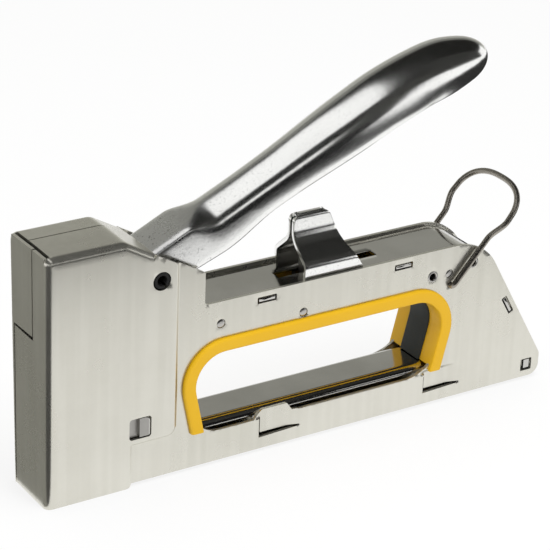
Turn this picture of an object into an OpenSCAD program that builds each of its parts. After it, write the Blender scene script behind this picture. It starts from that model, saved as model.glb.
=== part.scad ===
// Hand-squeezed staple gun with a pressed steel body, a chromed squeeze handle,
// a sliding force adjuster, a wire handle lock and a rear-loading staple magazine.
// X runs from the nose to the tail, Y across the body, Z up from the nose foot.

/* [Body] */
// Overall length of the body, nose front to tail
body_len = 171.5; // [165:0.5:185]
// Height of the nose
nose_h = 75; // [70:0.5:80]
// Width of the nose at its top
nose_w = 22.8; // [21:0.1:26]
// Width of the nose at its foot
foot_w = 20.6; // [20.2:0.1:21.4]
// Width of the body behind the nose
body_w = 19.4; // [18.6:0.1:19.6]
// Thickness of the body sheet
sheet = 1.0; // [0.8:0.1:1.2]
// Outside radius of the sheet folds at the nose
fold_r = 2.0; // [1.5:0.1:2.5]
// Length of the level top of the nose
nose_top_len = 24.2; // [22:0.2:26]
// Distance from the nose front to the end of its rear slope
nose_back_x = 50; // [48:0.5:52]
// Height that the nose's rear slope falls
nose_drop = 14.5; // [13:0.1:15.5]
// Distance from the nose front to the end of the raised nose panel
raised_len = 40.2; // [39:0.2:42]
// Height of the lower edge of the raised nose panel behind the foot
raised_z = 15; // [12:0.5:18]
// Length of the nose foot
foot_len = 26; // [22:0.5:30]
// Height of the upper edge of the body behind the nose
deck_edge_z = 51.4; // [50:0.2:54]
// Height of the lower edge of the body behind the nose
keel_z = 1.0; // [0.5:0.1:2]
// Depth of the deck below the upper edge of the body
deck_drop = 2.0; // [1.5:0.1:2.5]
// Height at which the tail turns from upright to sloping
tail_z = 8.1; // [6:0.1:10]
// Slope of the tail, in degrees from level
tail_angle = 60.1; // [55:0.1:65]
// Radius of the corner between the deck and the tail
tail_corner_r = 17; // [12:0.5:20]
// Gap between the edges of two folded flanges
seam = 0.5; // [0.3:0.1:0.8]

/* [Hand opening] */
// Distance from the nose front to the front end of the grip's upper edge
grip_front_x = 39.9; // [38:0.1:42]
// Distance from the rear end of the grip's upper edge to the tail
grip_back = 31.9; // [30:0.1:34]
// Height of the grip's upper edge
grip_top_z = 40.1; // [39:0.1:41]
// Height of the lower edge of the hand opening
grip_floor_z = 10.7; // [10:0.1:11.5]
// Lean of the front leg of the grip, in degrees
front_lean = 12.2; // [8:0.1:16]
// Lean of the rear leg of the grip, in degrees
rear_lean = 13.5; // [8:0.1:16]
// Radius of the grip's upper corners
grip_r = 13.5; // [10:0.5:16]
// Width of the grip's rim on the side plates
rim = 4.0; // [3.5:0.1:5]
// How far the rim covers the edge of the side plate
rim_cover = 2.0; // [1.5:0.1:2.5]
// Thickness of the rim outside the side plate
rim_t = 1.4; // [1:0.1:2]
// Height of the lower ends of the grip
grip_end_z = 12; // [11.5:0.1:14]
// Width of the soft insert
insert_w = 9.4; // [8:0.2:12]
// Thickness of the soft insert
insert_t = 1.4; // [1:0.1:2]

/* [Handle] */
// Distance from the nose front to the handle's pivot
pivot_x = 35.3; // [34:0.1:36]
// Depth of the handle's pivot below the top of the nose
pivot_drop = 12.2; // [11.5:0.1:13]
// Diameter of the pivot pin
pin_d = 5.6; // [5:0.1:6]
// Rest angle of the handle
handle_angle = 25.6; // [22:0.1:30]
// Thickness of the handle's wall
handle_wall = 1.4; // [1.2:0.1:1.8]
// Half width of the handle's flat cheeks
cheek_half = 7.5; // [7.2:0.1:7.8]
// Swing of the handle when it is squeezed
handle_swing = 21; // [18:0.5:22]

/* [Drive] */
// Distance from the pivot to the lifting pin
lift_r = 28; // [27:0.2:28.6]
// Angle of the lifting pin below the pivot at rest
lift_angle = 34; // [32:0.5:36]
// Diameter of the lifting pin
lift_pin_d = 2.6; // [2.2:0.1:3]
// Diameter of the roller on the lifting pin
roller_d = 3.8; // [3.6:0.1:4.2]
// Width of the driver blade
blade_w = 11.2; // [10.5:0.1:12]
// Thickness of the driver blade
blade_t = 1.1; // [0.8:0.1:1.3]
// Outside diameter of the main spring
spring_d = 12; // [10:0.5:13]
// Wire diameter of the main spring
spring_wire = 1.6; // [1.2:0.1:2]

/* [Magazine] */
// Height of the top of the staple channel
channel_top_z = 13.3; // [12.5:0.1:14]
// Width of the staple channel
channel_w = 14.8; // [14:0.1:16]
// Radius of the shoulders of the staple channel
channel_r = 2.6; // [2:0.1:3]
// Thickness of the staple channel
channel_t = 1.2; // [1:0.1:1.4]
// Width of the inner rail that carries the staples
rail_w = 9.6; // [9:0.1:10]
// Height of the top of the inner rail
rail_top_z = 8.2; // [7.8:0.1:8.6]
// Travel of the magazine drawer
drawer_travel = 80; // [60:1:100]
// Travel of the staple pusher
pusher_travel = 95; // [80:1:105]

/* [Force adjuster and handle lock] */
// Distance from the nose front to the front of the adjuster's thumb tab
tab_x = 84; // [82:0.5:92]
// Height of the top of the thumb tab above the handle's pivot
tab_rise = 5.8; // [4:0.1:6.4]
// Travel of the adjuster towards the nose
adjust_front = 8; // [4:0.5:8]
// Travel of the adjuster towards the tail
adjust_back = 16; // [10:0.5:18]
// Diameter of the lock's wire
wire_d = 1.8; // [1.5:0.1:2.2]
// Distance from the lock's pivot to the tail
lock_back = 36.5; // [35:0.1:38]
// Height of the lock's pivot
lock_z = 39; // [37:0.2:41]
// Reach of the lock from its pivot
lock_reach = 35.9; // [35.7:0.1:37]
// Rest angle of the lock from level
lock_angle = 48.5; // [46:0.5:49]

/* [Hidden] */
run_gap = 0.06;
slide_gap = 0.3;
arc_step = 12;
round_fn = 48;
small_fn = 24;
big = 400;

nose_back_z = nose_h - nose_drop;
pivot_z = nose_h - pivot_drop;
tab_top_z = pivot_z + tab_rise;
half_nose = nose_w / 2;
half_foot = foot_w / 2;
half_body = body_w / 2;
taper = atan((half_nose - half_foot) / nose_h);
slope_angle = atan((nose_h - nose_back_z) / (nose_back_x - nose_top_len));
inner_half = half_body - sheet;
deck_z = deck_edge_z - deck_drop;
rivet_d = 2.8;
eyelet_d = 3.6;
eyelet_bore = 2.1;
lock_pin_d = wire_d + 0.1;
grip_len = body_len - grip_back - grip_front_x;
lock_x = body_len - lock_back;
rivet_x = [55.4, 83, body_len - 37];
rivet_z = [44.6, 41.9, 42.8];
eyelet_x = [body_len - 43.1, body_len - 28.4];
eyelet_z = [43.1, 44.7];
deck_tab_x = [70.5, body_len - 53.9];
deck_tab_len = 5.4;
slot_len = 6.8;
slot_h = 2.0;

// ---------------------------------------------------------------- helpers

// The part's origin is midway along the body, under the nose foot
module place() translate([-body_len / 2, 0, 0]) children();

// Extrudes a side view (x, z) from y0 to y1
module slab(y0, y1) translate([0, y1, 0]) rotate([90, 0, 0]) linear_extrude(y1 - y0) children();

// A round bar across the body
module cross_bar(x, z, d, y0, y1, fn = round_fn)
    translate([x, y0, z]) rotate([-90, 0, 0]) cylinder(d = d, h = y1 - y0, $fn = fn);

// A round tube across the body
module cross_tube(x, z, d, bore, y0, y1)
    difference() {
        cross_bar(x, z, d, y0, y1);
        cross_bar(x, z, bore, y0 - 1, y1 + 1);
    }

module mirrored_pair() {
    children();
    mirror([0, 1, 0]) children();
}

function unit(v) = v / norm(v);

// Points of the arc that rounds corner p between its neighbours a and b
function corner_arc(a, p, b, r) =
    let (
        u = unit(a - p),
        w = unit(b - p),
        half = acos(u * w) / 2,
        c = p + unit(u + w) * r / sin(half),
        s = p + u * r / tan(half) - c,
        e = p + w * r / tan(half) - c,
        a0 = atan2(s[1], s[0]),
        turn = (atan2(e[1], e[0]) - a0 + 540) % 360 - 180,
        n = max(2, ceil(abs(turn) / arc_step))
    )
    r <= 0 ? [p] : [for (i = [0:n]) c + r * [cos(a0 + turn * i / n), sin(a0 + turn * i / n)]];

function at2(p) = [p[0], p[1]];

// A closed outline whose corners [x, z, radius] are rounded
function rounded(path) =
    let (n = len(path))
    [for (i = [0:n - 1])
        each corner_arc(at2(path[(i + n - 1) % n]), at2(path[i]), at2(path[(i + 1) % n]), path[i][2])];

// The same outline moved inwards by d; corners run anticlockwise
function inset(path, d) =
    let (n = len(path))
    [for (i = [0:n - 1])
        let (
            p = at2(path[i]),
            u = unit(p - at2(path[(i + n - 1) % n])),
            w = unit(at2(path[(i + 1) % n]) - p),
            nu = [-u[1], u[0]],
            nw = [-w[1], w[0]],
            q = p + (nu + nw) * d / (1 + nu * nw),
            convex = u[0] * w[1] - u[1] * w[0] > 0
        )
        [q[0], q[1], max(0, path[i][2] + (convex ? -d : d))]];

// Closed tube of radius r along a path of 3-D points, with flat ends
module swept_tube(path, r, sides) {
    n = len(path);
    rings = [for (i = [0:n - 1])
        let (
            d = unit(path[min(i + 1, n - 1)] - path[max(i - 1, 0)]),
            side = abs(d[1]) < 0.9 ? [0, 1, 0] : [0, 0, 1],
            e1 = unit(cross(d, side)),
            e2 = cross(d, e1)
        )
        [for (k = [0:sides - 1])
            path[i] + r * (cos(360 * k / sides) * e1 + sin(360 * k / sides) * e2)]];
    polyhedron(
        points = [for (ring = rings) each ring],
        faces = concat(
            [[for (k = [sides - 1:-1:0]) k]],
            [[for (k = [0:sides - 1]) (n - 1) * sides + k]],
            [for (i = [0:n - 2], k = [0:sides - 1])
                let (a = i * sides + k, b = i * sides + (k + 1) % sides)
                [a, b, b + sides]],
            [for (i = [0:n - 2], k = [0:sides - 1])
                let (a = i * sides + k, b = i * sides + (k + 1) % sides)
                [a, b + sides, a + sides]]
        )
    );
}

// ---------------------------------------------------------------- side plates

function slope_z(x) = nose_h - (x - nose_top_len) * tan(slope_angle);

tail_run = (deck_edge_z - tail_z) / tan(tail_angle);

// Side outline of the body behind the nose, anticlockwise
body_outline = [
    [foot_len - 1, keel_z, 0],
    [body_len, keel_z, 3.5],
    [body_len, tail_z, 3],
    [body_len - tail_run, deck_edge_z, tail_corner_r],
    [nose_back_x, deck_edge_z, 1.2],
    [nose_back_x, nose_back_z, 0.8],
    [raised_len - 4, slope_z(raised_len - 4), 0],
    [raised_len - 4, raised_z - 1, 0],
    [foot_len - 1, raised_z - 1, 0]
];

// Side outline of the raised nose panel
raised_outline = [
    [-1, 0, 0],
    [foot_len, 0, 2.5],
    [foot_len, raised_z, 1],
    [raised_len, raised_z, 2],
    [raised_len, slope_z(raised_len), 3],
    [nose_top_len, nose_h + 1, 0],
    [-1, nose_h + 1, 0]
];
foot_trim = [[-2, 0, 0], [foot_len, 0, 2.5], [foot_len, 9, 0], [-2, 9, 0]];

// Outer outline of the grip, anticlockwise from its front foot
grip_outline = [
    [grip_front_x + (grip_top_z - grip_floor_z) * tan(front_lean), grip_floor_z, 0],
    [grip_front_x + grip_len - (grip_top_z - grip_floor_z) * tan(rear_lean), grip_floor_z, 0],
    [grip_front_x + grip_len, grip_top_z, grip_r],
    [grip_front_x, grip_top_z, grip_r]
];

// The hole in the side plates that the grip lines, with eased lower corners
hole_floor_r = [10, 17];
function hole_outline(d) =
    let (h = inset(grip_outline, rim_cover + d))
    [
        [h[0][0], grip_floor_z + d, hole_floor_r[0] - d],
        [h[1][0], grip_floor_z + d, hole_floor_r[1] - d],
        h[2],
        h[3]
    ];

// Shell of the nose folded from sheet: side wall, front wall and top wall, upright
module nose_block(d) {
    intersection() {
        linear_extrude(nose_h + 5)
            polygon(rounded([
                [d, -half_foot + d, fold_r - d],
                [big / 4, -half_foot + d, 0],
                [big / 4, big / 8, 0],
                [d, big / 8, 0]
            ]));
        rotate([90, 0, 90]) translate([0, 0, -10]) linear_extrude(big / 2)
            polygon(rounded([
                [-half_foot + d, -10, 0],
                [big / 8, -10, 0],
                [big / 8, nose_h - d, 0],
                [-half_foot + d, nose_h - d, fold_r - d]
            ]));
        translate([nose_top_len, 0, nose_h]) rotate([0, slope_angle, 0])
            rotate([90, 0, 90]) translate([0, 0, -big / 4]) linear_extrude(big / 2)
                polygon(rounded([
                    [-half_foot + d, -big / 2, 0],
                    [big / 8, -big / 2, 0],
                    [big / 8, -d, 0],
                    [-half_foot + d, -d, fold_r - d]
                ]));
    }
}

// Left half of the nose, with its flanges ending at the given y
module nose_half(front_upper_y, front_lower_y, top_y) {
    lap_z = nose_h * 2 / 3;
    handle_gap_x = pivot_x - 1.8;
    difference() {
        intersection() {
            difference() {
                rotate([taper, 0, 0]) nose_block(0);
                rotate([taper, 0, 0]) nose_block(sheet);
            }
            slab(-20, 20) polygon(rounded(raised_outline));
            translate([-1, -20, -5]) cube([big / 4, 40, nose_h + 5]);
        }
        translate([-1, front_upper_y, lap_z - seam / 2])
            cube([fold_r + 1, 40, nose_h - lap_z + 2]);
        translate([-1, front_lower_y, -1]) cube([fold_r + 1, 40, lap_z + 1]);
        translate([-1, top_y, nose_h - 20]) cube([big / 4, 40, 30]);
        translate([sheet, -half_foot + sheet, nose_h - 2 * sheet])
            cube([seam, 40, 3 * sheet]);
        translate([handle_gap_x, -half_nose + sheet + 0.4, nose_back_z - 8])
            cube([20, 40, 30]);
    }
}

// Bends that carry the raised nose panel down to the level of the body
module joggles() {
    bend = 1.0;
    hull() {
        rotate([taper, 0, 0])
            translate([raised_len - 0.3, -half_foot, raised_z + 1.8]) cube([0.2, sheet, nose_h]);
        translate([raised_len + bend, -half_body, raised_z - bend]) cube([0.2, sheet, nose_h]);
    }
    hull() {
        rotate([taper, 0, 0])
            translate([foot_len - 0.3, -half_foot, keel_z]) cube([0.2, sheet, raised_z]);
        translate([foot_len + bend, -half_body, keel_z]) cube([0.2, sheet, raised_z - bend]);
    }
    hull() {
        rotate([taper, 0, 0])
            translate([foot_len - 0.3, -half_foot, raised_z + 0.4])
                cube([raised_len - foot_len - 1.5, sheet, 0.3]);
        translate([foot_len, -half_body, raised_z - bend])
            cube([raised_len - foot_len + bend / 2, sheet, 0.2]);
    }
}

// Slots that the deck's tabs pass through, and their tail versions
module tab_slots(grow) {
    for (x = deck_tab_x)
        translate([x, deck_z - sheet / 2])
            square([deck_tab_len + 2 * grow, sheet + 2 * grow], center = true);
    translate(tail_tab_at) rotate(-tail_angle)
        square([deck_tab_len + 2 * grow, sheet + 2 * grow], center = true);
}
tail_tab_z = 27.5;
tail_tab_at = [
    body_len - (tail_tab_z - tail_z) / tan(tail_angle) - (deck_drop + sheet / 2) / sin(tail_angle),
    tail_tab_z
];

// Window lanced out of the plate, with its tab pushed in to hold the channel
lance_x = [69.2, body_len - 44.1];
lance_len = 14;
lance_h = 6.4;
lance_z = 4.4;
module lance_windows()
    for (x = lance_x)
        translate([x, lance_z]) square([lance_len, lance_h]);

// Arch that stiffens the edge over the front lanced tab
module lance_arch()
    slab(-half_body, -half_body + sheet)
        polygon(rounded([
            [lance_x[0] - 3, grip_floor_z - 0.5, 0],
            [lance_x[0] + 14, grip_floor_z - 0.5, 0],
            [lance_x[0] + 9.5, grip_floor_z + 2.4, 3],
            [lance_x[0] + 1, grip_floor_z + 2.4, 3]
        ]));

nose_slot = [29.4, 18.6, 7, 6.6];
rear_slot = [body_len - 6.9, 3, 4.1, 4];

module plate_half(front_upper_y, front_lower_y, top_y) {
    difference() {
        union() {
            nose_half(front_upper_y, front_lower_y, top_y);
            slab(-half_body, -half_body + sheet)
                difference() {
                    polygon(rounded(body_outline));
                    translate([-1, -1]) square([foot_len + 2, raised_z]);
                    translate([-1, raised_z - 1]) square([raised_len + 2, nose_h]);
                }
            intersection() {
                joggles();
                slab(-20, 20) polygon(rounded(body_outline));
            }
            lance_arch();
        }
        slab(-20, 0) {
            difference() {
                polygon(rounded(hole_outline(0)));
                translate([lance_x[0] - 4, grip_floor_z - 1]) square([20, 3.4]);
            }
            tab_slots(0.5);
            difference() {
                lance_windows();
                for (x = lance_x)
                    translate([x + 1.6, lance_z + 1.7]) square([lance_len, lance_h]);
            }
            translate([nose_slot[0], nose_slot[1]])
                square([nose_slot[2], nose_slot[3]], center = true);
            translate([rear_slot[0], rear_slot[1]]) square([rear_slot[2], rear_slot[3]]);
        }
        hole_drills(-20, 0);
    }
}

// Round holes in one side plate
module hole_drills(y0, y1) {
    cross_bar(pivot_x, pivot_z, pin_d, y0, y1);
    for (i = [0:2])
        cross_bar(rivet_x[i], rivet_z[i], rivet_d, y0, y1);
    for (i = [0:1])
        cross_bar(eyelet_x[i], eyelet_z[i], eyelet_d, y0, y1);
    cross_bar(lock_x, lock_z, lock_pin_d + 2 * run_gap, y0, y1);
}

front_seam_y = -2.8;
top_seam_y = 2.9;
foot_seam_y = 8.1;

module left_side_plate()
    color([0.83, 0.82, 0.78]) place()
        plate_half(front_seam_y - seam / 2, foot_seam_y - seam / 2, top_seam_y - seam / 2);

module right_side_plate()
    color([0.83, 0.82, 0.78]) place()
        mirror([0, 1, 0])
            plate_half(-front_seam_y - seam / 2, -foot_seam_y - seam / 2, -top_seam_y - seam / 2);

// ---------------------------------------------------------------- inner frame

fit_gap = 0.05;

// Where the tail slope lies at height z
function tail_x(z) = body_len - (z - tail_z) / tan(tail_angle);

// Region under a line that follows the top and tail of the body, moved inwards by d
module under_deck(d)
    polygon(rounded(inset([
        [-big, -big, 0],
        [tail_x(-big), -big, 0],
        [tail_x(deck_edge_z), deck_edge_z, tail_corner_r],
        [-big, deck_edge_z, 0]
    ], d)));

strip_front_x = nose_back_x - 8;
strip_foot_z = channel_top_z + 1.2;
key_x = tab_x + 4;
key_len = 9;
key_half = 1.5;

module spine_strip()
    color([0.78, 0.78, 0.75]) place() difference() {
        union() {
            slab(-inner_half + fit_gap, inner_half - fit_gap)
                intersection() {
                    difference() {
                        under_deck(deck_drop);
                        under_deck(deck_drop + sheet);
                    }
                    translate([strip_front_x, strip_foot_z]) square(big);
                }
            slab(-half_body, half_body) tab_slots(0);
        }
        translate([key_x - adjust_front - slide_gap, -key_half - slide_gap, deck_z - 3 * sheet])
            cube([
                key_len + adjust_front + adjust_back + 2 * slide_gap,
                2 * (key_half + slide_gap),
                6 * sheet
            ]);
    }

blade_x = 3.0;
blade_half = blade_w / 2;
drive_x = 10.6;
buffer_z = 30;
buffer_h = 5.9;
hammer_z = buffer_z + buffer_h + 0.1;
inner_foot = half_foot - sheet;

// Channel behind the nose front that guides the driver blade
module nose_guide()
    color([0.6, 0.6, 0.58]) place()
        translate([0, 0, 0.4]) linear_extrude(buffer_z + 3)
            polygon(both_sides([
                [blade_x - run_gap, blade_half + run_gap],
                [blade_x + blade_t + 0.1, blade_half + run_gap],
                [blade_x + blade_t + 0.1, inner_foot - fit_gap],
                [sheet + 0.9, inner_foot - fit_gap],
                [sheet + fit_gap, inner_foot - 1.2]
            ]));

// Points of half an outline followed by their mirror images across y = 0
function both_sides(points) =
    concat(points, [for (i = [len(points) - 1:-1:0]) [points[i][0], -points[i][1]]]);

cap_half = spring_d / 2 + 1.4;
cap_top_z = (nose_h - sheet) * cos(taper) - cap_half * sin(taper) - fit_gap;

// Cup under the top of the nose that seats the main spring
module spring_cap()
    color([0.5, 0.5, 0.5]) place()
        translate([drive_x, 0, cap_top_z]) mirror([0, 0, 1]) rotate_extrude($fn = round_fn)
            polygon([
                [0, 0],
                [cap_half, 0],
                [cap_half, 3],
                [spring_d / 2 + 0.6, 3],
                [spring_d / 2 + 0.6, 1.2],
                [spring_d / 2 - spring_wire - 0.4, 1.2],
                [spring_d / 2 - spring_wire - 1, 4],
                [0, 4]
            ]);

seat_half = half_foot + (half_nose - half_foot) * raised_z / nose_h - sheet - 0.1;
ear_len = 3;

// Folded bracket across the nose; its ears hook into slots in the side plates
module buffer_seat()
    color([0.62, 0.62, 0.6]) place() {
        translate([blade_x + blade_t + 0.8, -seat_half, buffer_z - 1.5])
            cube([raised_len - 8 - blade_x, 2 * seat_half, 1.5]);
        mirrored_pair() {
            slab(-seat_half, -seat_half + 1.2)
                polygon(rounded([
                    [nose_slot[0] - 6, raised_z + 0.4, 2],
                    [nose_slot[0] + 6, raised_z + 0.4, 2],
                    [nose_slot[0] + 6, buffer_z - 0.1, 0],
                    [nose_slot[0] - 6, buffer_z - 0.1, 0]
                ]));
            slab(-seat_half - sheet - 0.2, -seat_half + 0.5)
                polygon(rounded([
                    [nose_slot[0] - 0.3, nose_slot[1] - 2.9, 0],
                    [nose_slot[0] - 0.3 + ear_len, nose_slot[1] - 2.9, 0],
                    [nose_slot[0] - 0.3 + ear_len, nose_slot[1] + 2.9, 1.2],
                    [nose_slot[0] - 0.3, nose_slot[1] + 2.9, 0]
                ]));
        }
    }

module rubber_buffer()
    color([0.12, 0.12, 0.12]) place()
        translate([blade_x + blade_t + 1.2, 0, buffer_z]) rotate([90, 0, 90]) linear_extrude(11)
            polygon(rounded([
                [-6.4, 0, 0],
                [6.4, 0, 0],
                [5.8, buffer_h, 1.4],
                [-5.8, buffer_h, 1.4]
            ]));

channel_half = channel_w / 2;
channel_front_x = blade_x + blade_t + 0.4;
channel_back_x = rear_slot[0] + 3.6;
channel_foot_z = keel_z + 0.3;

// Section across the channel: an upturned U with feet that reach the side plates
module channel_section() {
    difference() {
        union() {
            polygon(rounded([
                [-channel_half, channel_foot_z, 0],
                [channel_half, channel_foot_z, 0],
                [channel_half, channel_top_z, channel_r],
                [-channel_half, channel_top_z, channel_r]
            ]));
            translate([-inner_half + fit_gap, channel_foot_z])
                square([2 * (inner_half - fit_gap), channel_t]);
        }
        polygon(rounded([
            [-channel_half + channel_t, channel_foot_z - 1, 0],
            [channel_half - channel_t, channel_foot_z - 1, 0],
            [channel_half - channel_t, channel_top_z - channel_t, channel_r - channel_t],
            [-channel_half + channel_t, channel_top_z - channel_t, channel_r - channel_t]
        ]));
    }
}

module staple_channel()
    color([0.8, 0.8, 0.78]) place() {
        translate([channel_front_x, 0, 0]) rotate([90, 0, 90])
            linear_extrude(channel_back_x - channel_front_x) channel_section();
        mirrored_pair()
            slab(-half_body, -channel_half + channel_t / 2)
                translate([rear_slot[0] + 0.5, rear_slot[1] + 0.6]) square([2.4, rear_slot[3] - 1.2]);
    }

// ---------------------------------------------------------------- fasteners

pin_half = half_nose - 0.1;

// Split spring pin that the handle turns on
module pivot_pin()
    color([0.1, 0.1, 0.1]) place() difference() {
        cross_tube(pivot_x, pivot_z, pin_d, pin_d - 3, -pin_half, pin_half);
        translate([pivot_x, 0, pivot_z]) rotate([0, 60, 0])
            translate([pin_d / 4, 0, 0]) cube([pin_d / 2 + 1, 2 * pin_half + 2, 0.7], center = true);
    }

module body_rivets()
    color([0.85, 0.85, 0.82]) place()
        for (i = [0:len(rivet_x) - 1])
            translate([rivet_x[i], 0, rivet_z[i]]) rotate([90, 0, 0])
                mirrored_pair3() rotate_extrude($fn = small_fn) polygon([
                    [0, 0],
                    [rivet_d / 2, 0],
                    [rivet_d / 2, half_body],
                    [rivet_d / 2 - 0.3, half_body + 0.12],
                    [0, half_body + 0.15]
                ]);

module mirrored_pair3() {
    children();
    mirror([0, 0, 1]) children();
}

// Hollow rivets whose ends are rolled over the side plates
module body_eyelets()
    color([0.8, 0.8, 0.78]) place()
        for (i = [0:len(eyelet_x) - 1])
            translate([eyelet_x[i], 0, eyelet_z[i]]) rotate([90, 0, 0])
                mirrored_pair3() rotate_extrude($fn = small_fn) polygon([
                    [eyelet_bore / 2, 0],
                    [eyelet_d / 2, 0],
                    [eyelet_d / 2, half_body],
                    [eyelet_d / 2 + 0.3, half_body + 0.01],
                    [eyelet_d / 2 - 0.2, half_body + 0.15],
                    [eyelet_bore / 2, half_body + 0.05]
                ]);

// Tubes that hold the side plates apart around the solid rivets
module rivet_spacers()
    color([0.7, 0.7, 0.68]) place()
        for (i = [0:len(rivet_x) - 1])
            cross_tube(rivet_x[i], rivet_z[i], rivet_d + 2, rivet_d, -inner_half, inner_half);

// ---------------------------------------------------------------- grip

// The grip's outline with its legs running on below the hand opening
function grip_legs(d) =
    inset([
        [grip_front_x + big / 10 * tan(front_lean), grip_top_z - big / 10, 0],
        [grip_front_x + grip_len - big / 10 * tan(rear_lean), grip_top_z - big / 10, 0],
        [grip_front_x + grip_len, grip_top_z, grip_r],
        [grip_front_x, grip_top_z, grip_r]
    ], d);

// Band of the grip between two distances in from its outer edge, down to height z
module grip_band(d0, d1, z)
    intersection() {
        difference() {
            polygon(rounded(grip_legs(d0)));
            polygon(rounded(grip_legs(d1)));
        }
        translate([0, z]) square(big);
    }

insert_sink = 0.8;

module grip_liner()
    color([0.93, 0.73, 0.1]) place() difference() {
        union() {
            slab(-half_body - fit_gap, half_body + fit_gap)
                intersection() {
                    grip_band(rim_cover + fit_gap, rim, channel_top_z + slide_gap);
                    polygon(rounded(hole_outline(fit_gap)));
                }
            mirrored_pair() {
                slab(-half_body - rim_t * 0.6, -half_body - fit_gap) grip_band(0, rim, grip_end_z);
                slab(-half_body - rim_t * 0.85, -half_body - rim_t * 0.6)
                    grip_band(0.25, rim - 0.15, grip_end_z);
                slab(-half_body - rim_t, -half_body - rim_t * 0.85)
                    grip_band(0.7, rim - 0.5, grip_end_z);
            }
        }
        slab(-insert_w / 2, insert_w / 2) grip_band(rim - insert_sink, rim + 1, grip_end_z - 1);
    }

module grip_insert()
    color([0.15, 0.17, 0.17]) place()
        slab(-insert_w / 2 + fit_gap, insert_w / 2 - fit_gap)
            grip_band(rim - insert_sink, rim - insert_sink + insert_t, channel_top_z + slide_gap);

// ---------------------------------------------------------------- handle

// The handle is drawn along its own axis: a runs from the pivot to the tip, b is up
module in_handle()
    place() translate([pivot_x, 0, pivot_z]) rotate([0, -handle_angle, 0]) children();

bush_d = 7.6;
ear_a = -9.4;
ear_r = 4.6;
// The handle ends just behind the lock's pivot
dome_s = lock_x + 15 - pivot_x;
stretch = dome_s / 114.7;
droop_a = 81.5 * stretch;
droop_r = 101;
dome_len = 8;
axis_b = -1.2;

function ease_at(s, table) = (lookup(s - 5, table) + lookup(s, table) + lookup(s + 5, table)) / 3;
function half_w(s) = ease_at(s / stretch, [
    [20, cheek_half], [36, 7.3], [50, 7.5], [69, 8.5], [84, 8.8], [97, 8.7], [108, 8.8], [120, 5.6]
]);
function half_h(s) = ease_at(s / stretch, [
    [-14, 6.1], [8, 6.6], [27, 7.4], [36, 7.3], [50, 7.5], [69, 8.5], [84, 8.8], [97, 8.7],
    [108, 8.8], [120, 5.6]
]);
function rise(s) = ease_at(s, [[-14, 1.4], [8, 0.9], [27, 0], [60, 0]]);
// The box section rounds off between two stations: 0.2 is nearly square, 1 is round
function roundness(s, from, to) =
    let (k = min(1, max(0, (s - from) / (to - from))))
    0.2 + 0.8 * k * k * (3 - 2 * k);
function upper_round(s) = roundness(s, 14, 24);
function lower_round(s) = roundness(s, 20, 42);
function opening(s) = ease_at(s / stretch, [[0, 132], [18, 132], [40, 143], [92, 143], [112, 168], [130, 172]]);

// Centre of the section at length s along the handle, and its direction
function droop(s) = max(0, s - droop_a) / droop_r * 180 / PI;
function axis_point(s) =
    s <= droop_a ? [s, axis_b + rise(s)] : [
        droop_a + droop_r * sin(droop(s)),
        axis_b - droop_r * (1 - cos(droop(s)))
    ];

function bulge(v, e) = sign(v) * pow(abs(v), e);

// Points of one open section: centre, direction, half width, half height, station for the rounding
function c_section(c, turn, w, h, s, open, n) =
    [for (i = [0:n])
        let (
            f = -open + 2 * open * i / n,
            e = cos(f) > 0 ? upper_round(s) : lower_round(s),
            y = w * bulge(sin(f), e),
            b = h * bulge(cos(f), e)
        )
        [c[0] + b * sin(turn), y, c[1] + b * cos(turn)]];

// One station of the shell: the outer section and the inner one as a closed loop
function shell_ring(s, n) =
    let (
        dome = max(0, s - dome_s),
        body_s = min(s, dome_s),
        turn = droop(body_s),
        ahead = [cos(turn), -sin(turn)],
        f = min(dome * 10, 84),
        shrink = cos(f),
        c = axis_point(body_s),
        w = half_w(body_s),
        h = half_h(body_s),
        outer = c_section(c + ahead * dome_len * sin(f), turn, w * shrink, h * shrink,
            body_s, opening(s), n),
        inner = c_section(c + ahead * (dome_len - handle_wall) * sin(f), turn,
            (w - handle_wall) * shrink, (h - handle_wall) * shrink,
            body_s, opening(s) - 1.5, n)
    )
    concat(outer, [for (i = [n:-1:0]) inner[i]]);

shell_stations = concat(
    [for (s = [-16:8:8]) s],
    [for (s = [12:2:24]) s * stretch],
    [for (s = [28:4:112]) s * stretch],
    [for (k = [0:1.4:8.4]) dome_s + k]
);

module handle_skin() {
    n = 22;
    m = 2 * (n + 1);
    rings = [for (s = shell_stations) shell_ring(s, n)];
    count = len(rings);
    polyhedron(
        points = [for (ring = rings) each ring],
        faces = concat(
            [for (i = [0:n - 1]) let (j = m - 1 - i) [i + 1, i, j]],
            [for (i = [0:n - 1]) let (j = m - 1 - i) [i + 1, j, j - 1]],
            [for (i = [0:n - 1]) let (o = (count - 1) * m, j = m - 1 - i) [o + i, o + i + 1, o + j]],
            [for (i = [0:n - 1]) let (o = (count - 1) * m, j = m - 1 - i) [o + i + 1, o + j - 1, o + j]],
            [for (r = [0:count - 2], k = [0:m - 1])
                let (p = r * m + k, q = r * m + (k + 1) % m) [p, q, q + m]],
            [for (r = [0:count - 2], k = [0:m - 1])
                let (p = r * m + k, q = r * m + (k + 1) % m) [p, q + m, p + m]]
        )
    );
}

// Side outline that trims the front of the shell to an arch and two ears
module front_trim()
    difference() {
        translate([-30, -20]) square([60, 40]);
        translate([1.6, -6.4]) square([40, 20]);
        polygon(rounded([
            [ear_a - ear_r, -ear_r, ear_r - 0.01],
            [3, -6.4, 0],
            [3, 5.2, 0],
            [1.6, 5.2, 2],
            [ear_a - ear_r, ear_r, ear_r - 0.01]
        ]));
    }

module handle_shell()
    color([0.85, 0.86, 0.87]) in_handle() difference() {
        handle_skin();
        slab(-12, 12) front_trim();
        cross_bar(0, 0, bush_d + 2 * fit_gap, -12, 12);
        cross_bar(ear_a + 1, 0, rivet_d + 2 * fit_gap, -12, 12);
    }

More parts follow.
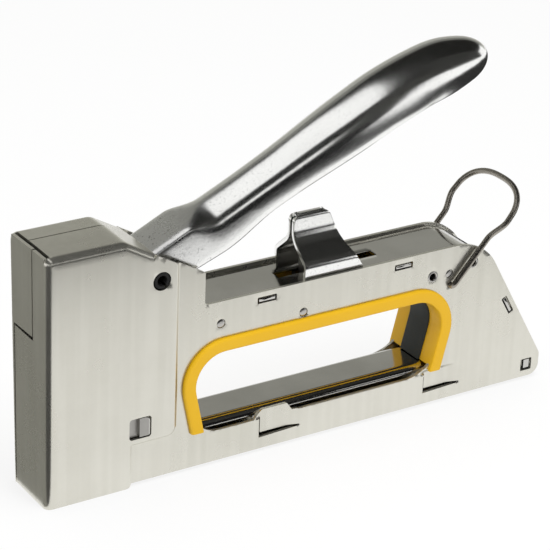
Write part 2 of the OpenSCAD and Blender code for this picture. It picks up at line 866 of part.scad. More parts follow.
// The lifting pin's place seen from the pivot, along the handle's axis
lift_at = [-lift_r * cos(lift_angle - handle_angle), -lift_r * sin(lift_angle - handle_angle)];
arm_y = cheek_half + 0.35;
arm_t = 1.4;
arm_end_r = 3.2;
arm_root_r = 4.6;

module lift_arms()
    color([0.6, 0.6, 0.6]) in_handle() mirrored_pair() difference() {
        union() {
            cross_bar(0, 0, 2 * arm_root_r, -arm_y - arm_t, -arm_y);
            cross_bar(lift_at[0], lift_at[1], 2 * arm_end_r, -arm_y - arm_t, -arm_y);
            slab(-arm_y - arm_t, -arm_y) rotate(atan2(lift_at[1], lift_at[0])) polygon([
                [0, -arm_root_r + 0.4],
                [lift_r, -arm_end_r + 0.4],
                [lift_r, arm_end_r - 0.4],
                [0, arm_root_r - 0.4]
            ]);
        }
        cross_bar(0, 0, bush_d, -20, 20);
        cross_bar(ear_a + 1, 0, rivet_d, -20, 20);
        cross_bar(lift_at[0], lift_at[1], lift_pin_d, -20, 20);
    }

module lift_pin()
    color([0.5, 0.5, 0.5]) in_handle()
        cross_bar(lift_at[0], lift_at[1], lift_pin_d, -arm_y - arm_t, arm_y + arm_t);

module lift_roller()
    color([0.65, 0.65, 0.65]) in_handle()
        cross_tube(lift_at[0], lift_at[1], roller_d, lift_pin_d, -arm_y + 0.2, arm_y - 0.2);

module pivot_bush()
    color([0.55, 0.55, 0.5]) in_handle()
        cross_tube(0, 0, bush_d, pin_d + 2 * run_gap, -arm_y - arm_t, arm_y + arm_t);

module handle_rivets()
    color([0.6, 0.6, 0.6]) in_handle() mirrored_pair()
        cross_bar(ear_a + 1, 0, rivet_d, -arm_y - arm_t - 0.2, -cheek_half + handle_wall + 0.6);

// ---------------------------------------------------------------- drive

lift = lift_r * (sin(lift_angle) - sin(lift_angle - handle_swing));
lift_x = pivot_x - lift_r * cos(lift_angle);
lift_z = pivot_z - lift_r * sin(lift_angle);
hammer_front_x = blade_x + blade_t;
hammer_back_x = 17.2;
hammer_half = arm_y - 0.6;
hammer_top_z = lift_z + roller_d / 2 + 4;
slot_half = roller_d / 2 + 0.6;
hammer_rivet_z = [hammer_z + 3, hammer_z + 6.4];
blade_rivet_len = 7.5;

module hammer()
    color([0.55, 0.55, 0.55]) place() difference() {
        union() {
            slab(-hammer_half, hammer_half) polygon(rounded([
                [hammer_front_x, hammer_z, 0],
                [hammer_back_x - 2, hammer_z, 2],
                [hammer_back_x, lift_z - slot_half - 1, 1],
                [hammer_back_x, hammer_top_z, 2],
                [hammer_front_x, hammer_top_z, 0.6]
            ]));
            translate([drive_x, 0, hammer_top_z - 0.1])
                cylinder(d1 = spring_d - 2 * spring_wire - 0.8, d2 = spring_d - 2 * spring_wire - 2,
                    h = 3, $fn = round_fn);
        }
        slab(-20, 20) polygon(rounded([
            [lift_x - lift_r * (cos(lift_angle - handle_swing) - cos(lift_angle)) - slot_half,
                lift_z - slot_half, slot_half - 0.3],
            [40, lift_z - slot_half, 0],
            [40, lift_z + slot_half, 0],
            [lift_x - lift_r * (cos(lift_angle - handle_swing) - cos(lift_angle)) - slot_half,
                lift_z + slot_half, slot_half - 0.3]
        ]));
        for (y = [-3.4, 3.4])
            translate([0, y, hammer_rivet_z[0]]) rotate([0, 90, 0])
                cylinder(d = 2, h = blade_x + blade_rivet_len, $fn = small_fn);
    }

module driver_blade()
    color([0.7, 0.7, 0.7]) place() difference() {
        translate([blade_x, 0, 0]) rotate([90, 0, 90]) linear_extrude(blade_t)
            polygon(rounded([
                [-blade_half, 0.3, 0],
                [blade_half, 0.3, 0],
                [blade_half, hammer_z + 9, 1],
                [-blade_half, hammer_z + 9, 1]
            ]));
        for (y = [-3.4, 3.4])
            translate([0, y, hammer_rivet_z[0]]) rotate([0, 90, 0])
                cylinder(d = 2, h = blade_x + blade_rivet_len, $fn = small_fn);
    }

module blade_rivets()
    color([0.6, 0.6, 0.6]) place()
        for (y = [-3.4, 3.4])
            translate([blade_x - 0.5, y, hammer_rivet_z[0]]) rotate([0, 90, 0])
                cylinder(d = 2, h = 0.5 + blade_rivet_len, $fn = small_fn);

// Points along a coil between two heights
function coil(r, z0, z1, turns, steps) =
    [for (i = [0:turns * steps])
        [r * cos(360 * i / steps), r * sin(360 * i / steps), z0 + (z1 - z0) * i / (turns * steps)]];

module main_spring()
    color([0.45, 0.45, 0.45]) place() translate([drive_x, 0, 0])
        swept_tube(coil(
            (spring_d - spring_wire) / 2,
            hammer_top_z + spring_wire / 2 + 0.1,
            cap_top_z - 1.2 - spring_wire / 2 - 0.1,
            5, 16
        ), spring_wire / 2, 6);

// ---------------------------------------------------------------- force adjuster

skirt_half = inner_half - slide_gap;
tab_half = 1.6;
saddle_t = 1.2;
saddle_foot_z = deck_z + 0.1;

// Section of the saddle: skirts that rise and close into the thumb tab
function bell(d) = [
    [-skirt_half + d, saddle_foot_z - d, 0],
    [skirt_half - d, saddle_foot_z - d, 0],
    [skirt_half - d, saddle_foot_z + 6 - d / 2, 2.6 - d / 2],
    [tab_half - d / 2, saddle_foot_z + 12 - 1.6 * d, 5]
];

module force_slider()
    color([0.85, 0.86, 0.87]) place() intersection() {
        translate([tab_x - 1, 0, 0]) rotate([90, 0, 90]) linear_extrude(24) difference() {
            union() {
                polygon(rounded(concat(bell(0), [
                    [tab_half, tab_top_z, 0.9],
                    [-tab_half, tab_top_z, 0.9],
                    [-tab_half, saddle_foot_z + 12, 5],
                    [-skirt_half, saddle_foot_z + 6, 2.6]
                ])));
            }
            polygon(rounded([
                [-skirt_half + saddle_t, saddle_foot_z - 1, 0],
                [skirt_half - saddle_t, saddle_foot_z - 1, 0],
                [skirt_half - saddle_t, saddle_foot_z + 5.4, 1.6],
                [0, saddle_foot_z + 10.6, 1],
                [-skirt_half + saddle_t, saddle_foot_z + 5.4, 1.6]
            ]));
        }
        slab(-20, 20) polygon(rounded([
            [tab_x, saddle_foot_z - 1, 0],
            [tab_x + 20.5, saddle_foot_z - 1, 0],
            [tab_x + 20.2, saddle_foot_z + 1.6, 3],
            [tab_x + 15.6, saddle_foot_z + 9, 3],
            [tab_x + 14, tab_top_z - 5.5, 3],
            [tab_x + 11.6, tab_top_z, 3],
            [tab_x, tab_top_z, 2.5]
        ]));
    }

module slider_key()
    color([0.6, 0.6, 0.6]) place() {
        slab(-key_half, key_half) polygon([
            [key_x, deck_z - sheet - 1.4],
            [key_x + key_len, deck_z - sheet - 1.4],
            [key_x + key_len, saddle_foot_z + 5],
            [key_x + key_len - 2, saddle_foot_z + 8.4],
            [key_x, saddle_foot_z + 8.4]
        ]);
        translate([key_x, -5, deck_z - sheet - 1.6]) cube([key_len, 10, 1.3]);
    }

// ---------------------------------------------------------------- handle lock

leg_half = half_body + 0.45 + wire_d / 2;
loop_half = 13.7;
leg_s = 17.5;
bend_s = 25;
leg_r = 1.2;

// Half of the wire's path in its own plane: s runs out from the pivot, y across
lock_half_path = concat(
    [[0, leg_half - leg_r - 0.6]],
    [for (f = [0:30:90]) [leg_r * (1 - cos(f)), leg_half - leg_r * (1 - sin(f))]],
    [for (i = [0:6])
        let (q = i / 6, s = leg_s + (bend_s - leg_s) * q)
        [s, leg_half + (loop_half - leg_half) * (3 * q * q - 2 * q * q * q)]],
    [for (f = [12:12:84])
        [bend_s + (lock_reach - bend_s) * pow(sin(f), 0.8), loop_half * pow(cos(f), 0.8)]],
    [[lock_reach, 0]]
);

module handle_lock_wire()
    color([0.45, 0.44, 0.42]) place() {
        n = len(lock_half_path);
        path = concat(
            lock_half_path,
            [for (i = [n - 2:-1:0]) [lock_half_path[i][0], -lock_half_path[i][1]]]
        );
        translate([lock_x, 0, lock_z]) rotate([0, -lock_angle, 0])
            swept_tube([for (p = path) [p[0], p[1], 0]], wire_d / 2, 10);
        mirrored_pair()
            cross_bar(lock_x, lock_z, lock_pin_d, -leg_half + leg_r, -inner_half + 0.3, small_fn);
    }

// ---------------------------------------------------------------- magazine

rail_half = rail_w / 2;
rail_t = 0.9;
rail_front_x = channel_front_x + 0.6;
rail_back_x = channel_back_x - 8;
rail_foot_z = keel_z + 0.7;
rod_z = (rail_top_z - rail_t + rail_foot_z) / 2 + 0.1;
rod_d = 2;
pusher_x = rail_front_x + 1.8;
pusher_len = 14;
lug_half = 1;
end_front_x = channel_back_x - 16;

// Rail that the staples straddle, slotted along its top for the pusher
module magazine_rail()
    color([0.75, 0.75, 0.72]) place() difference() {
        union() {
            translate([rail_front_x, 0, 0]) rotate([90, 0, 90])
                linear_extrude(rail_back_x - rail_front_x) difference() {
                    polygon(rounded([
                        [-rail_half, rail_foot_z, 0],
                        [rail_half, rail_foot_z, 0],
                        [rail_half, rail_top_z, 0.9],
                        [-rail_half, rail_top_z, 0.9]
                    ]));
                    translate([-rail_half + rail_t, rail_foot_z - 1])
                        square([2 * (rail_half - rail_t), rail_top_z - rail_t - rail_foot_z + 1]);
                }
            translate([rail_front_x, -rail_half + 0.5, rail_foot_z])
                cube([1, rail_w - 1, rail_top_z - rail_foot_z - 0.5]);
        }
        translate([pusher_x + pusher_len - 9, -lug_half - slide_gap, rail_top_z - 2])
            cube([pusher_travel + 10, 2 * (lug_half + slide_gap), 4]);
        translate([0, 0, rod_z]) rotate([0, 90, 0])
            cylinder(d = rod_d, h = pusher_x, $fn = small_fn);
    }

// Plug and finger lip that close the rear of the channel
module magazine_end()
    color([0.3, 0.3, 0.3]) place() difference() {
        union() {
            translate([end_front_x, 0, 0]) rotate([90, 0, 90])
                linear_extrude(channel_back_x + 1 - end_front_x) polygon(rounded([
                    [-channel_half + channel_t + slide_gap, rail_foot_z, 0],
                    [channel_half - channel_t - slide_gap, rail_foot_z, 0],
                    [channel_half - channel_t - slide_gap, channel_top_z - channel_t - slide_gap, 1.6],
                    [-channel_half + channel_t + slide_gap, channel_top_z - channel_t - slide_gap, 1.6]
                ]));
            slab(-inner_half + 2 * slide_gap, inner_half - 2 * slide_gap) polygon(rounded([
                [channel_back_x + 0.4, rail_foot_z, 0.4],
                [body_len - 0.7, rail_foot_z, 0.8],
                [body_len - 0.7, tail_z - 0.6, 1.2],
                [channel_back_x + 1.8, channel_top_z - 2.4, 0.6],
                [channel_back_x + 0.4, channel_top_z - 2.4, 0.4]
            ]));
        }
        translate([end_front_x - 1, 0, 0]) rotate([90, 0, 90])
            linear_extrude(rail_back_x - end_front_x + 1) difference() {
                translate([-rail_half, rail_foot_z - 1]) square([rail_w, rail_top_z - rail_foot_z + 1]);
                translate([-rail_half + rail_t, rail_foot_z - 2])
                    square([2 * (rail_half - rail_t), rail_top_z - rail_t - rail_foot_z + 2]);
            }
        translate([0, 0, rod_z]) rotate([0, 90, 0])
            cylinder(d = rod_d, h = end_front_x + 6, $fn = small_fn);
    }

module guide_rod()
    color([0.65, 0.65, 0.65]) place()
        translate([rail_front_x, 0, rod_z]) rotate([0, 90, 0])
            cylinder(d = rod_d, h = end_front_x + 6 - rail_front_x, $fn = small_fn);

module staple_pusher()
    color([0.6, 0.6, 0.58]) place() difference() {
        union() {
            translate([pusher_x, 0, 0]) rotate([90, 0, 90]) linear_extrude(pusher_len) difference() {
                polygon(rounded([
                    [-rail_half - 1, rail_foot_z + 0.6, 0],
                    [rail_half + 1, rail_foot_z + 0.6, 0],
                    [rail_half + 1, rail_top_z + 1.3, 1],
                    [-rail_half - 1, rail_top_z + 1.3, 1]
                ]));
                translate([-rail_half - 0.1, rail_foot_z])
                    square([rail_w + 0.2, rail_top_z + 0.1 - rail_foot_z]);
            }
            translate([pusher_x + pusher_len - 7, -lug_half, rod_z])
                cube([6.8, 2 * lug_half, rail_top_z + 0.6 - rod_z]);
            translate([pusher_x + pusher_len - 7, 0, rod_z]) rotate([0, 90, 0])
                cylinder(d = rod_d + 2.6, h = 6.8, $fn = small_fn);
        }
        translate([0, 0, rod_z]) rotate([0, 90, 0])
            cylinder(d = rod_d + 0.2, h = 60, $fn = small_fn);
    }

module pusher_spring()
    color([0.6, 0.6, 0.6]) place() translate([0, 0, rod_z]) rotate([0, 90, 0])
        swept_tube(coil(
            rod_d / 2 + 0.75,
            pusher_x + pusher_len + 0.2,
            end_front_x - 0.4,
            22, 10
        ), 0.3, 4);

// ---------------------------------------------------------------- assembly

left_side_plate();
right_side_plate();
spine_strip();
nose_guide();
spring_cap();
buffer_seat();
rubber_buffer();
staple_channel();
pivot_pin();
body_rivets();
body_eyelets();
rivet_spacers();
grip_liner();
grip_insert();
handle_shell();
lift_arms();
lift_pin();
lift_roller();
pivot_bush();
handle_rivets();
hammer();
driver_blade();
blade_rivets();
main_spring();
force_slider();
slider_key();
handle_lock_wire();
magazine_rail();
magazine_end();
guide_rod();
staple_pusher();
pusher_spring();
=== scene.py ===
import math

import bpy
import numpy as np
from mathutils import Matrix, Vector
from mathutils.geometry import delaunay_2d_cdt
import bmesh


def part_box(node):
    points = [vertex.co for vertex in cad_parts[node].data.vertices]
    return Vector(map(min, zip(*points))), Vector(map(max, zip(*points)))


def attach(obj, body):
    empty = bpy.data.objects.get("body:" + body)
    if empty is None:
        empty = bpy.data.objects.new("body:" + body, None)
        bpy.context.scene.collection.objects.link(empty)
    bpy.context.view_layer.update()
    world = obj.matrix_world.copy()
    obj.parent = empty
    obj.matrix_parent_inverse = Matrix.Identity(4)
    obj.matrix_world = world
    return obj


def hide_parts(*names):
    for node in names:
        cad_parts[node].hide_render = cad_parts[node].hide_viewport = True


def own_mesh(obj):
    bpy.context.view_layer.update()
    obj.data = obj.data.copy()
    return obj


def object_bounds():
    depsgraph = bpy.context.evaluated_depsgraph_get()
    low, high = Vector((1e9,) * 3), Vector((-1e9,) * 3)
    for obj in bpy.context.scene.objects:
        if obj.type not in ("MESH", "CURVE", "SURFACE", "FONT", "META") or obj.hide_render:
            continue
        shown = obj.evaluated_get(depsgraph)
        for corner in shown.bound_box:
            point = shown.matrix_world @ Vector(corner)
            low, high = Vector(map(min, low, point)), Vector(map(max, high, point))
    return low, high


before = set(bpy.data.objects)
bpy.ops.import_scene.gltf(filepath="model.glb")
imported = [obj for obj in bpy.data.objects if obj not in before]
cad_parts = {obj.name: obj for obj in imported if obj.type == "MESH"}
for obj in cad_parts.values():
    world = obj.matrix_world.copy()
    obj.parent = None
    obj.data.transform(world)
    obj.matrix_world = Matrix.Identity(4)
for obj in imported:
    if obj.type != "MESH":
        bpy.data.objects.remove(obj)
cad_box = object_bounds()

# ------------------------------------------------------------------ studio
# A pale sweep under one soft lamp, with cards for bright metal to mirror. The camera stands ahead
# of the nose on its near side and looks down along the body; what it and bright metal see
# beyond the cards is white.


scene = bpy.context.scene
scene.view_settings.view_transform = "Standard"

body_low, body_high = (Vector(corner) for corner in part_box("left_side_plate"))
nose_x = body_low.x * 1000.0


def point(x, y, z):
    """A place in metres, from millimetres behind the nose, across and above the foot."""
    return Vector((x + nose_x, y, z)) / 1000.0


def aim(azimuth, elevation, roll):
    az, el, turn = (math.radians(v) for v in (azimuth, elevation, roll))
    back = Vector((math.sin(az) * math.cos(el), -math.cos(az) * math.cos(el), math.sin(el)))
    right = (-back).cross(Vector((0, 0, 1))).normalized()
    up = right.cross(-back)
    side = right * math.cos(turn) + up * math.sin(turn)
    top = up * math.cos(turn) - right * math.sin(turn)
    return side, top, back


camera = bpy.data.objects.new("camera", bpy.data.cameras.new("camera"))
camera.data.sensor_width = 36.0
camera.data.lens = 2400.0 / 550.0 * 36.0
camera.data.clip_end = 10.0
side, top, back = aim(-33.028, 24.787, 2.1426)
spot = point(79.098, 0, 50.477) + back * 0.689054
camera.matrix_world = Matrix((
    (side.x, top.x, back.x, spot.x),
    (side.y, top.y, back.y, spot.y),
    (side.z, top.z, back.z, spot.z),
    (0, 0, 0, 1),
))
scene.collection.objects.link(camera)
scene.camera = camera


class Wire:
    """A shader socket that plain arithmetic works on."""

    def __init__(self, shop, socket):
        self.shop = shop
        self.socket = socket

    def math(self, operation, *others, **settings):
        values = dict(enumerate((self, *others)))
        return self.shop.node("Math", {"operation": operation, **settings}, values)

    def __add__(self, other):
        return self.math("ADD", other)

    def __sub__(self, other):
        return self.math("SUBTRACT", other)

    def __mul__(self, other):
        return self.math("MULTIPLY", other)

    __radd__ = __add__
    __rmul__ = __mul__

    def __rsub__(self, other):
        return self.shop.node("Math", {"operation": "SUBTRACT"}, {0: other, 1: self})

    def above(self, low, high):
        """0 below low, 1 above high, smooth between."""
        return self.shop.node(
            "MapRange", {"interpolation_type": "SMOOTHSTEP"},
            {"Value": self, "From Min": low, "From Max": high},
        )


class Shop:
    """A node tree under construction."""

    def __init__(self, tree):
        self.tree = tree
        tree.nodes.clear()

    def node(self, kind, settings=None, values=None, out=0):
        node = self.tree.nodes.new("ShaderNode" + kind)
        for key, value in (settings or {}).items():
            setattr(node, key, value)
        for key, value in (values or {}).items():
            if isinstance(value, Wire):
                self.tree.links.new(value.socket, node.inputs[key])
            else:
                node.inputs[key].default_value = value
        return Wire(self, node.outputs[out] if node.outputs else None)

    def mix(self, share, one, other):
        one, other = (
            c if isinstance(c, Wire) else (*c, 1.0) for c in (one, other)
        )
        return self.node(
            "Mix", {"data_type": "RGBA", "clamp_factor": True}, {0: share, 6: one, 7: other}, 2
        )

    def noise(self, scale, detail, roughness=0.5, stretch=None):
        """Noise through the piece; stretch scales each axis first."""
        place = self.node("TexCoord", out=3)
        if stretch:
            place = self.node("Mapping", values={0: place, "Scale": stretch})
        return self.node("TexNoise", values={
            0: place, "Scale": scale, "Detail": detail, "Roughness": roughness})

    def bump(self, strength, distance, height):
        return self.node("Bump", values={
            "Strength": strength, "Distance": distance, "Height": height})


world = bpy.data.worlds.new("studio")
scene.world = world
world.use_nodes = True
shop = Shop(world.node_tree)


def sees_white(shop, lens):
    """1 for mirror and glass rays and the given share for the lens."""
    rays = [shop.node("LightPath", out=name) for name in (
        "Is Camera Ray", "Is Glossy Ray", "Is Transmission Ray")]
    return rays[0].math("MULTIPLY", lens).math("MAXIMUM", rays[1]).math("MAXIMUM", rays[2])


shop.node("OutputWorld", values={0: shop.node("Background", values={
    "Color": shop.mix(sees_white(shop, 1.0), (0.74, 0.74, 0.73), (1.0, 1.0, 1.0)), "Strength": 1.0,
})})


def lamp(name, place, size, power):
    light = bpy.data.objects.new(name, bpy.data.lights.new(name, "AREA"))
    light.data.shape = "RECTANGLE"
    light.data.size, light.data.size_y = size
    light.data.energy = power
    light.visible_glossy = False
    target = point(80, 0, 45)
    light.location = target + Vector(place)
    light.rotation_euler = (target - light.location).to_track_quat("-Z", "Y").to_euler()
    scene.collection.objects.link(light)


lamp("key", (0.0, -0.20, 0.60), (0.14, 0.50), 2.2)


def flag(name, corners, shade):
    """A card outside the picture that bright metal mirrors. Corners in millimetres."""
    mesh = bpy.data.meshes.new(name)
    mesh.from_pydata([point(*c) for c in corners], [], [(0, 1, 2, 3)])
    card = bpy.data.objects.new(name, mesh)
    material = bpy.data.materials.new(name)
    material.use_nodes = True
    shop = Shop(material.node_tree)
    shop.node("OutputMaterial", values={0: shop.node("Emission", values={"Color": (*shade, 1.0)})})
    mesh.materials.append(material)
    card.visible_camera = card.visible_diffuse = card.visible_shadow = False
    scene.collection.objects.link(card)


def upright(name, y, x0, x1, z0, z1, shade):
    flag(name, [(x0, y, z0), (x1, y, z0), (x1, y, z1), (x0, y, z1)], shade)


def lying(name, x0, x1, y0, y1, z, shade):
    flag(name, [(x0, y0, z), (x1, y0, z), (x1, y1, z), (x0, y1, z)], shade)


upright("near_low", -152, -700, 185, 0, 92, (0.012, 0.012, 0.012))
upright("near_high", -152, 115, 185, 92, 215, (0.045, 0.045, 0.042))
upright("near_rear", -153, 185, 900, 138, 400, (0.035, 0.035, 0.033))
upright("near_foot", -153, 185, 900, 0, 38, (0.03, 0.03, 0.03))
upright("back_low", 320, -500, 1100, 70, 150, (0.55, 0.55, 0.51))
upright("back_middle", 320, -500, 1100, 150, 290, (0.36, 0.36, 0.33))
upright("back_high", 320, -500, 1100, 290, 430, (0.17, 0.17, 0.155))
lying("floor_rear", 235, 900, -153, 320, -0.1, (0.03, 0.03, 0.03))
lying("floor_left", -600, -1, -11, 320, -0.1, (0.22, 0.22, 0.20))
lying("floor_corner", -600, -1, -600, -11, -0.1, (0.015, 0.015, 0.015))
# round a long soft box that hangs overhead, the ceiling is dark
ceiling, ceiling_z = (0.014, 0.014, 0.013), 1100
for name, corners in (
    ("ceiling_right", ((-481, 3000), (3000, 3000), (3000, -1300), (250, -1300))),
    ("ceiling_left", ((-3000, 3000), (-567, 3000), (-171, -1300), (-3000, -1300))),
    ("ceiling_front", ((-3000, -4000), (3000, -4000), (3000, -1300), (-3000, -1300))),
):
    flag(name, [(x, y, ceiling_z) for x, y in corners], ceiling)


def new_finish(name):
    material = bpy.data.materials.new(name)
    material.use_nodes = True
    return material, Shop(material.node_tree)


def surface(name, recipe):
    """A material whose recipe returns the Principled values; numbers sit on its own sockets."""
    material, shop = new_finish(name)
    values = recipe(shop)
    shader = shop.node("BsdfPrincipled", values=values)
    shop.node("OutputMaterial", values={0: shader})
    return material


def grained(name, scale, detail, shades, roughness, metallic=0.0, bump=None):
    """A finish whose colour, gloss and relief follow one noise; roughness is (least, rise)."""
    def recipe(shop):
        grain = shop.noise(scale, detail)
        values = {
            "Base Color": shop.mix(grain, *shades), "Metallic": metallic,
            "Roughness": roughness[0] + grain * roughness[1],
        }
        if bump:
            values["Normal"] = shop.bump(*bump, grain)
        return values
    return surface(name, recipe)


floor_mesh = bpy.data.meshes.new("floor")
floor_mesh.from_pydata(
    [(-4, -4, 0), (4, -4, 0), (4, 4, 0), (-4, 4, 0)], [], [(0, 1, 2, 3)]
)
floor = bpy.data.objects.new("floor", floor_mesh)
floor.location.z = cad_box[0][2] - 0.0002
material, shop = new_finish("paper")
paint = shop.node("BsdfDiffuse", values={"Color": (0.93, 0.93, 0.93, 1)})
glow = shop.node("Emission", values={"Color": (1, 1, 1, 1), "Strength": 1.0})
shade = shop.node("MixShader", values={0: sees_white(shop, 0.8), 1: paint, 2: glow})
shop.node("OutputMaterial", values={0: shade})
floor.data.materials.append(material)
scene.collection.objects.link(floor)

# ------------------------------------------------------------------ side plates
# Two steel pressings, nickel plated to a satin finish. Each is one blank: the wall, a joggled
# nose panel that stands proud of it, and flanges folded round the front and top of the nose.

SHEET = 1.0
FOLD = 2.0
HEIGHT = 76.3
FOOT_HALF = 10.3
NOSE_HALF = 11.4
BODY_HALF = 9.7
TAPER = math.atan((NOSE_HALF - FOOT_HALF) / HEIGHT)
TOP_LEN = 24.2
BACK_X, BACK_Z = 50.0, 61.5
SLOPE = math.atan((HEIGHT - BACK_Z) / (BACK_X - TOP_LEN))
RAISED_X, RAISED_Z, FOOT_X = 40.2, 14.2, 26.0
DECK_EDGE, KEEL = 51.4, 1.0
LENGTH = (body_high.x - body_low.x) * 1000.0
TAIL_Z, TAIL_ANGLE, TAIL_R = 8.1, math.radians(60.1), 17.0
# what passes through both plates: the handle's pin, the lock's ends, the rivets and the eyelets
PIVOT, LOCK = np.array((35.3, 62.8)), np.array((135.0, 39.0))
RIVETS = ((55.4, 44.6), (83.0, 41.9), (134.5, 42.8))
EYELETS = ((128.4, 43.1), (143.1, 44.7))


def rounded(path, step=6.0):
    """Closed outline through corners (x, z, radius), as a list of points."""
    out = []
    count = len(path)
    for i, (x, z, r) in enumerate(path):
        p = np.array((x, z), float)
        if r <= 0:
            out.append(p)
            continue
        a = np.array(path[i - 1][:2], float) - p
        b = np.array(path[(i + 1) % count][:2], float) - p
        a, b = a / np.linalg.norm(a), b / np.linalg.norm(b)
        half = math.acos(np.clip(a @ b, -1, 1)) / 2
        middle = p + (a + b) / np.linalg.norm(a + b) * r / math.sin(half)
        s, e = (p + v * r / math.tan(half) - middle for v in (a, b))
        start = math.atan2(s[1], s[0])
        turn = (math.atan2(e[1], e[0]) - start + 3 * math.pi) % (2 * math.pi) - math.pi
        parts = max(2, math.ceil(abs(math.degrees(turn)) / step))
        out += [
            middle + r * np.array((math.cos(start + turn * k / parts), math.sin(start + turn * k / parts)))
            for k in range(parts + 1)
        ]
    return out


def inset(path, d):
    """The same corners moved inwards by d; the outline runs anticlockwise."""
    out = []
    for i, (x, z, r) in enumerate(path):
        p = np.array((x, z), float)
        u = p - np.array(path[i - 1][:2], float)
        w = np.array(path[(i + 1) % len(path)][:2], float) - p
        u, w = u / np.linalg.norm(u), w / np.linalg.norm(w)
        nu, nw = np.array((-u[1], u[0])), np.array((-w[1], w[0]))
        q = p + (nu + nw) * d / (1 + nu @ nw)
        convex = u[0] * w[1] - u[1] * w[0] > 0
        out.append((q[0], q[1], max(0.0, r + (-d if convex else d))))
    return out


def denser(loop, gap):
    """Closed loop of points with none further apart than gap."""
    out = []
    for i, p in enumerate(loop):
        q = loop[(i + 1) % len(loop)]
        parts = max(1, math.ceil(np.linalg.norm(q - p) / gap))
        out += [p + (q - p) * k / parts for k in range(parts)]
    return out


def circle(x, z, r, parts=28):
    turn = 2 * math.pi / parts
    return [np.array((x + r * math.cos(k * turn), z + r * math.sin(k * turn))) for k in range(parts)]


def inside(points, loop):
    """Which points lie in a closed loop."""
    points, loop = np.asarray(points), np.asarray(loop)
    x, z = points[:, 0], points[:, 1]
    hit = np.zeros(len(points), bool)
    a = loop
    b = np.roll(loop, -1, axis=0)
    for (x0, z0), (x1, z1) in zip(a, b):
        if z0 == z1:
            continue
        crosses = (z0 > z) != (z1 > z)
        hit ^= crosses & (x < (x1 - x0) * (z - z0) / (z1 - z0) + x0)
    return hit


def near_line(points, loop, gap):
    """Which points lie closer than gap to a closed loop's own points."""
    loop = np.asarray(loop)
    out = np.zeros(len(points), bool)
    for start in range(0, len(points), 2000):
        part = points[start:start + 2000]
        far = np.min(np.hypot(
            part[:, None, 0] - loop[None, :, 0], part[:, None, 1] - loop[None, :, 1]
        ), axis=1)
        out[start:start + 2000] = far < gap
    return out


def filled(loops, grids):
    """Triangles of the region between loops; grids are (points, clear distance)."""
    verts, edges = [], []
    for loop in loops:
        first = len(verts)
        verts += [tuple(p) for p in loop]
        edges += [(first + k, first + (k + 1) % len(loop)) for k in range(len(loop))]
    for points, gap in grids:
        keep = inside(points, loops[0])
        for loop in loops[1:]:
            keep &= ~inside(points, loop)
        points = points[keep]
        for loop in loops:
            points = points[~near_line(points, loop, gap)]
        verts += [tuple(p) for p in points]
    out = delaunay_2d_cdt([Vector(v) for v in verts], edges, [], 0, 1e-5)
    flat = np.array([tuple(v) for v in out[0]])
    faces = np.array(out[2])
    middle = flat[faces].mean(axis=1)
    keep = inside(middle, loops[0])
    for loop in loops[1:]:
        keep &= ~inside(middle, loop)
    return flat, faces[keep]


class Shell:
    """Gathers surfaces into one mesh."""

    def __init__(self):
        self.verts = []
        self.faces = []

    def add(self, verts, faces):
        first = len(self.verts)
        self.verts += [tuple(v) for v in verts]
        self.faces += [tuple(int(k) + first for k in face) for face in faces]

    def grid(self, rows, closed=False):
        """Quads between rows of points; closed joins each row's ends."""
        rows = np.asarray(rows, float)
        count, width = rows.shape[:2]
        faces = []
        for i in range(count - 1):
            for j in range(width if closed else width - 1):
                k = (j + 1) % width
                faces.append((i * width + j, i * width + k, (i + 1) * width + k, (i + 1) * width + j))
        self.add(rows.reshape(-1, 3), faces)

    def cap(self, ring, flat):
        """Closes a ring of points; flat has the same points in two dimensions."""
        count = len(flat)
        out = delaunay_2d_cdt(
            [Vector(v) for v in flat], [(k, (k + 1) % count) for k in range(count)], [], 1, 1e-6
        )
        self.add([ring[k[0]] for k in out[3]], out[2])

    def piece(self, name, merge=0.002):
        """An object in metres from millimetres behind the nose."""
        mesh = bpy.data.meshes.new(name)
        verts = (np.array(self.verts) + (nose_x, 0, 0)) / 1000.0
        mesh.from_pydata(verts.tolist(), [], self.faces)
        if merge:

            work = bmesh.new()
            work.from_mesh(mesh)
            bmesh.ops.remove_doubles(work, verts=work.verts, dist=merge / 1000.0)
            work.to_mesh(mesh)
            work.free()
        mesh.validate()
        thing = bpy.data.objects.new(name, mesh)
        scene.collection.objects.link(thing)
        return thing


def modified(thing, kind, **settings):
    modifier = thing.modifiers.new(kind.lower(), kind)
    for key, value in settings.items():
        setattr(modifier, key, value)
    return thing


def bevelled(thing, width, segments=2, angle=50):
    """Rounds the edges sharper than the angle, by a width in millimetres."""
    return modified(thing, "BEVEL", width=width / 1000, segments=segments, limit_method="ANGLE",
                    angle_limit=math.radians(angle))


def faced(thing, inverted=None):
    """Turns the faces outwards, and over where the test says that they came out inverted."""
    work = bmesh.new()
    work.from_mesh(thing.data)
    bmesh.ops.recalc_face_normals(work, faces=work.faces)
    if inverted and inverted(work.faces):
        bmesh.ops.reverse_faces(work, faces=work.faces)
    work.to_mesh(thing.data)
    work.free()


def settle(thing, material, sharp=35.0):
    """Applies the modifiers, shades the mesh smooth with sharp edges and gives it its finish."""
    bpy.context.view_layer.update()
    shot = thing.evaluated_get(bpy.context.evaluated_depsgraph_get())
    mesh = bpy.data.meshes.new_from_object(shot)
    thing.modifiers.clear()
    thing.data = mesh
    mesh.materials.clear()
    mesh.materials.append(material)
    mesh.polygons.foreach_set("material_index", [0] * len(mesh.polygons))
    mesh.set_sharp_from_angle(angle=math.radians(sharp))
    mesh.polygons.foreach_set("use_smooth", [True] * len(mesh.polygons))
    mesh.update()
    return thing


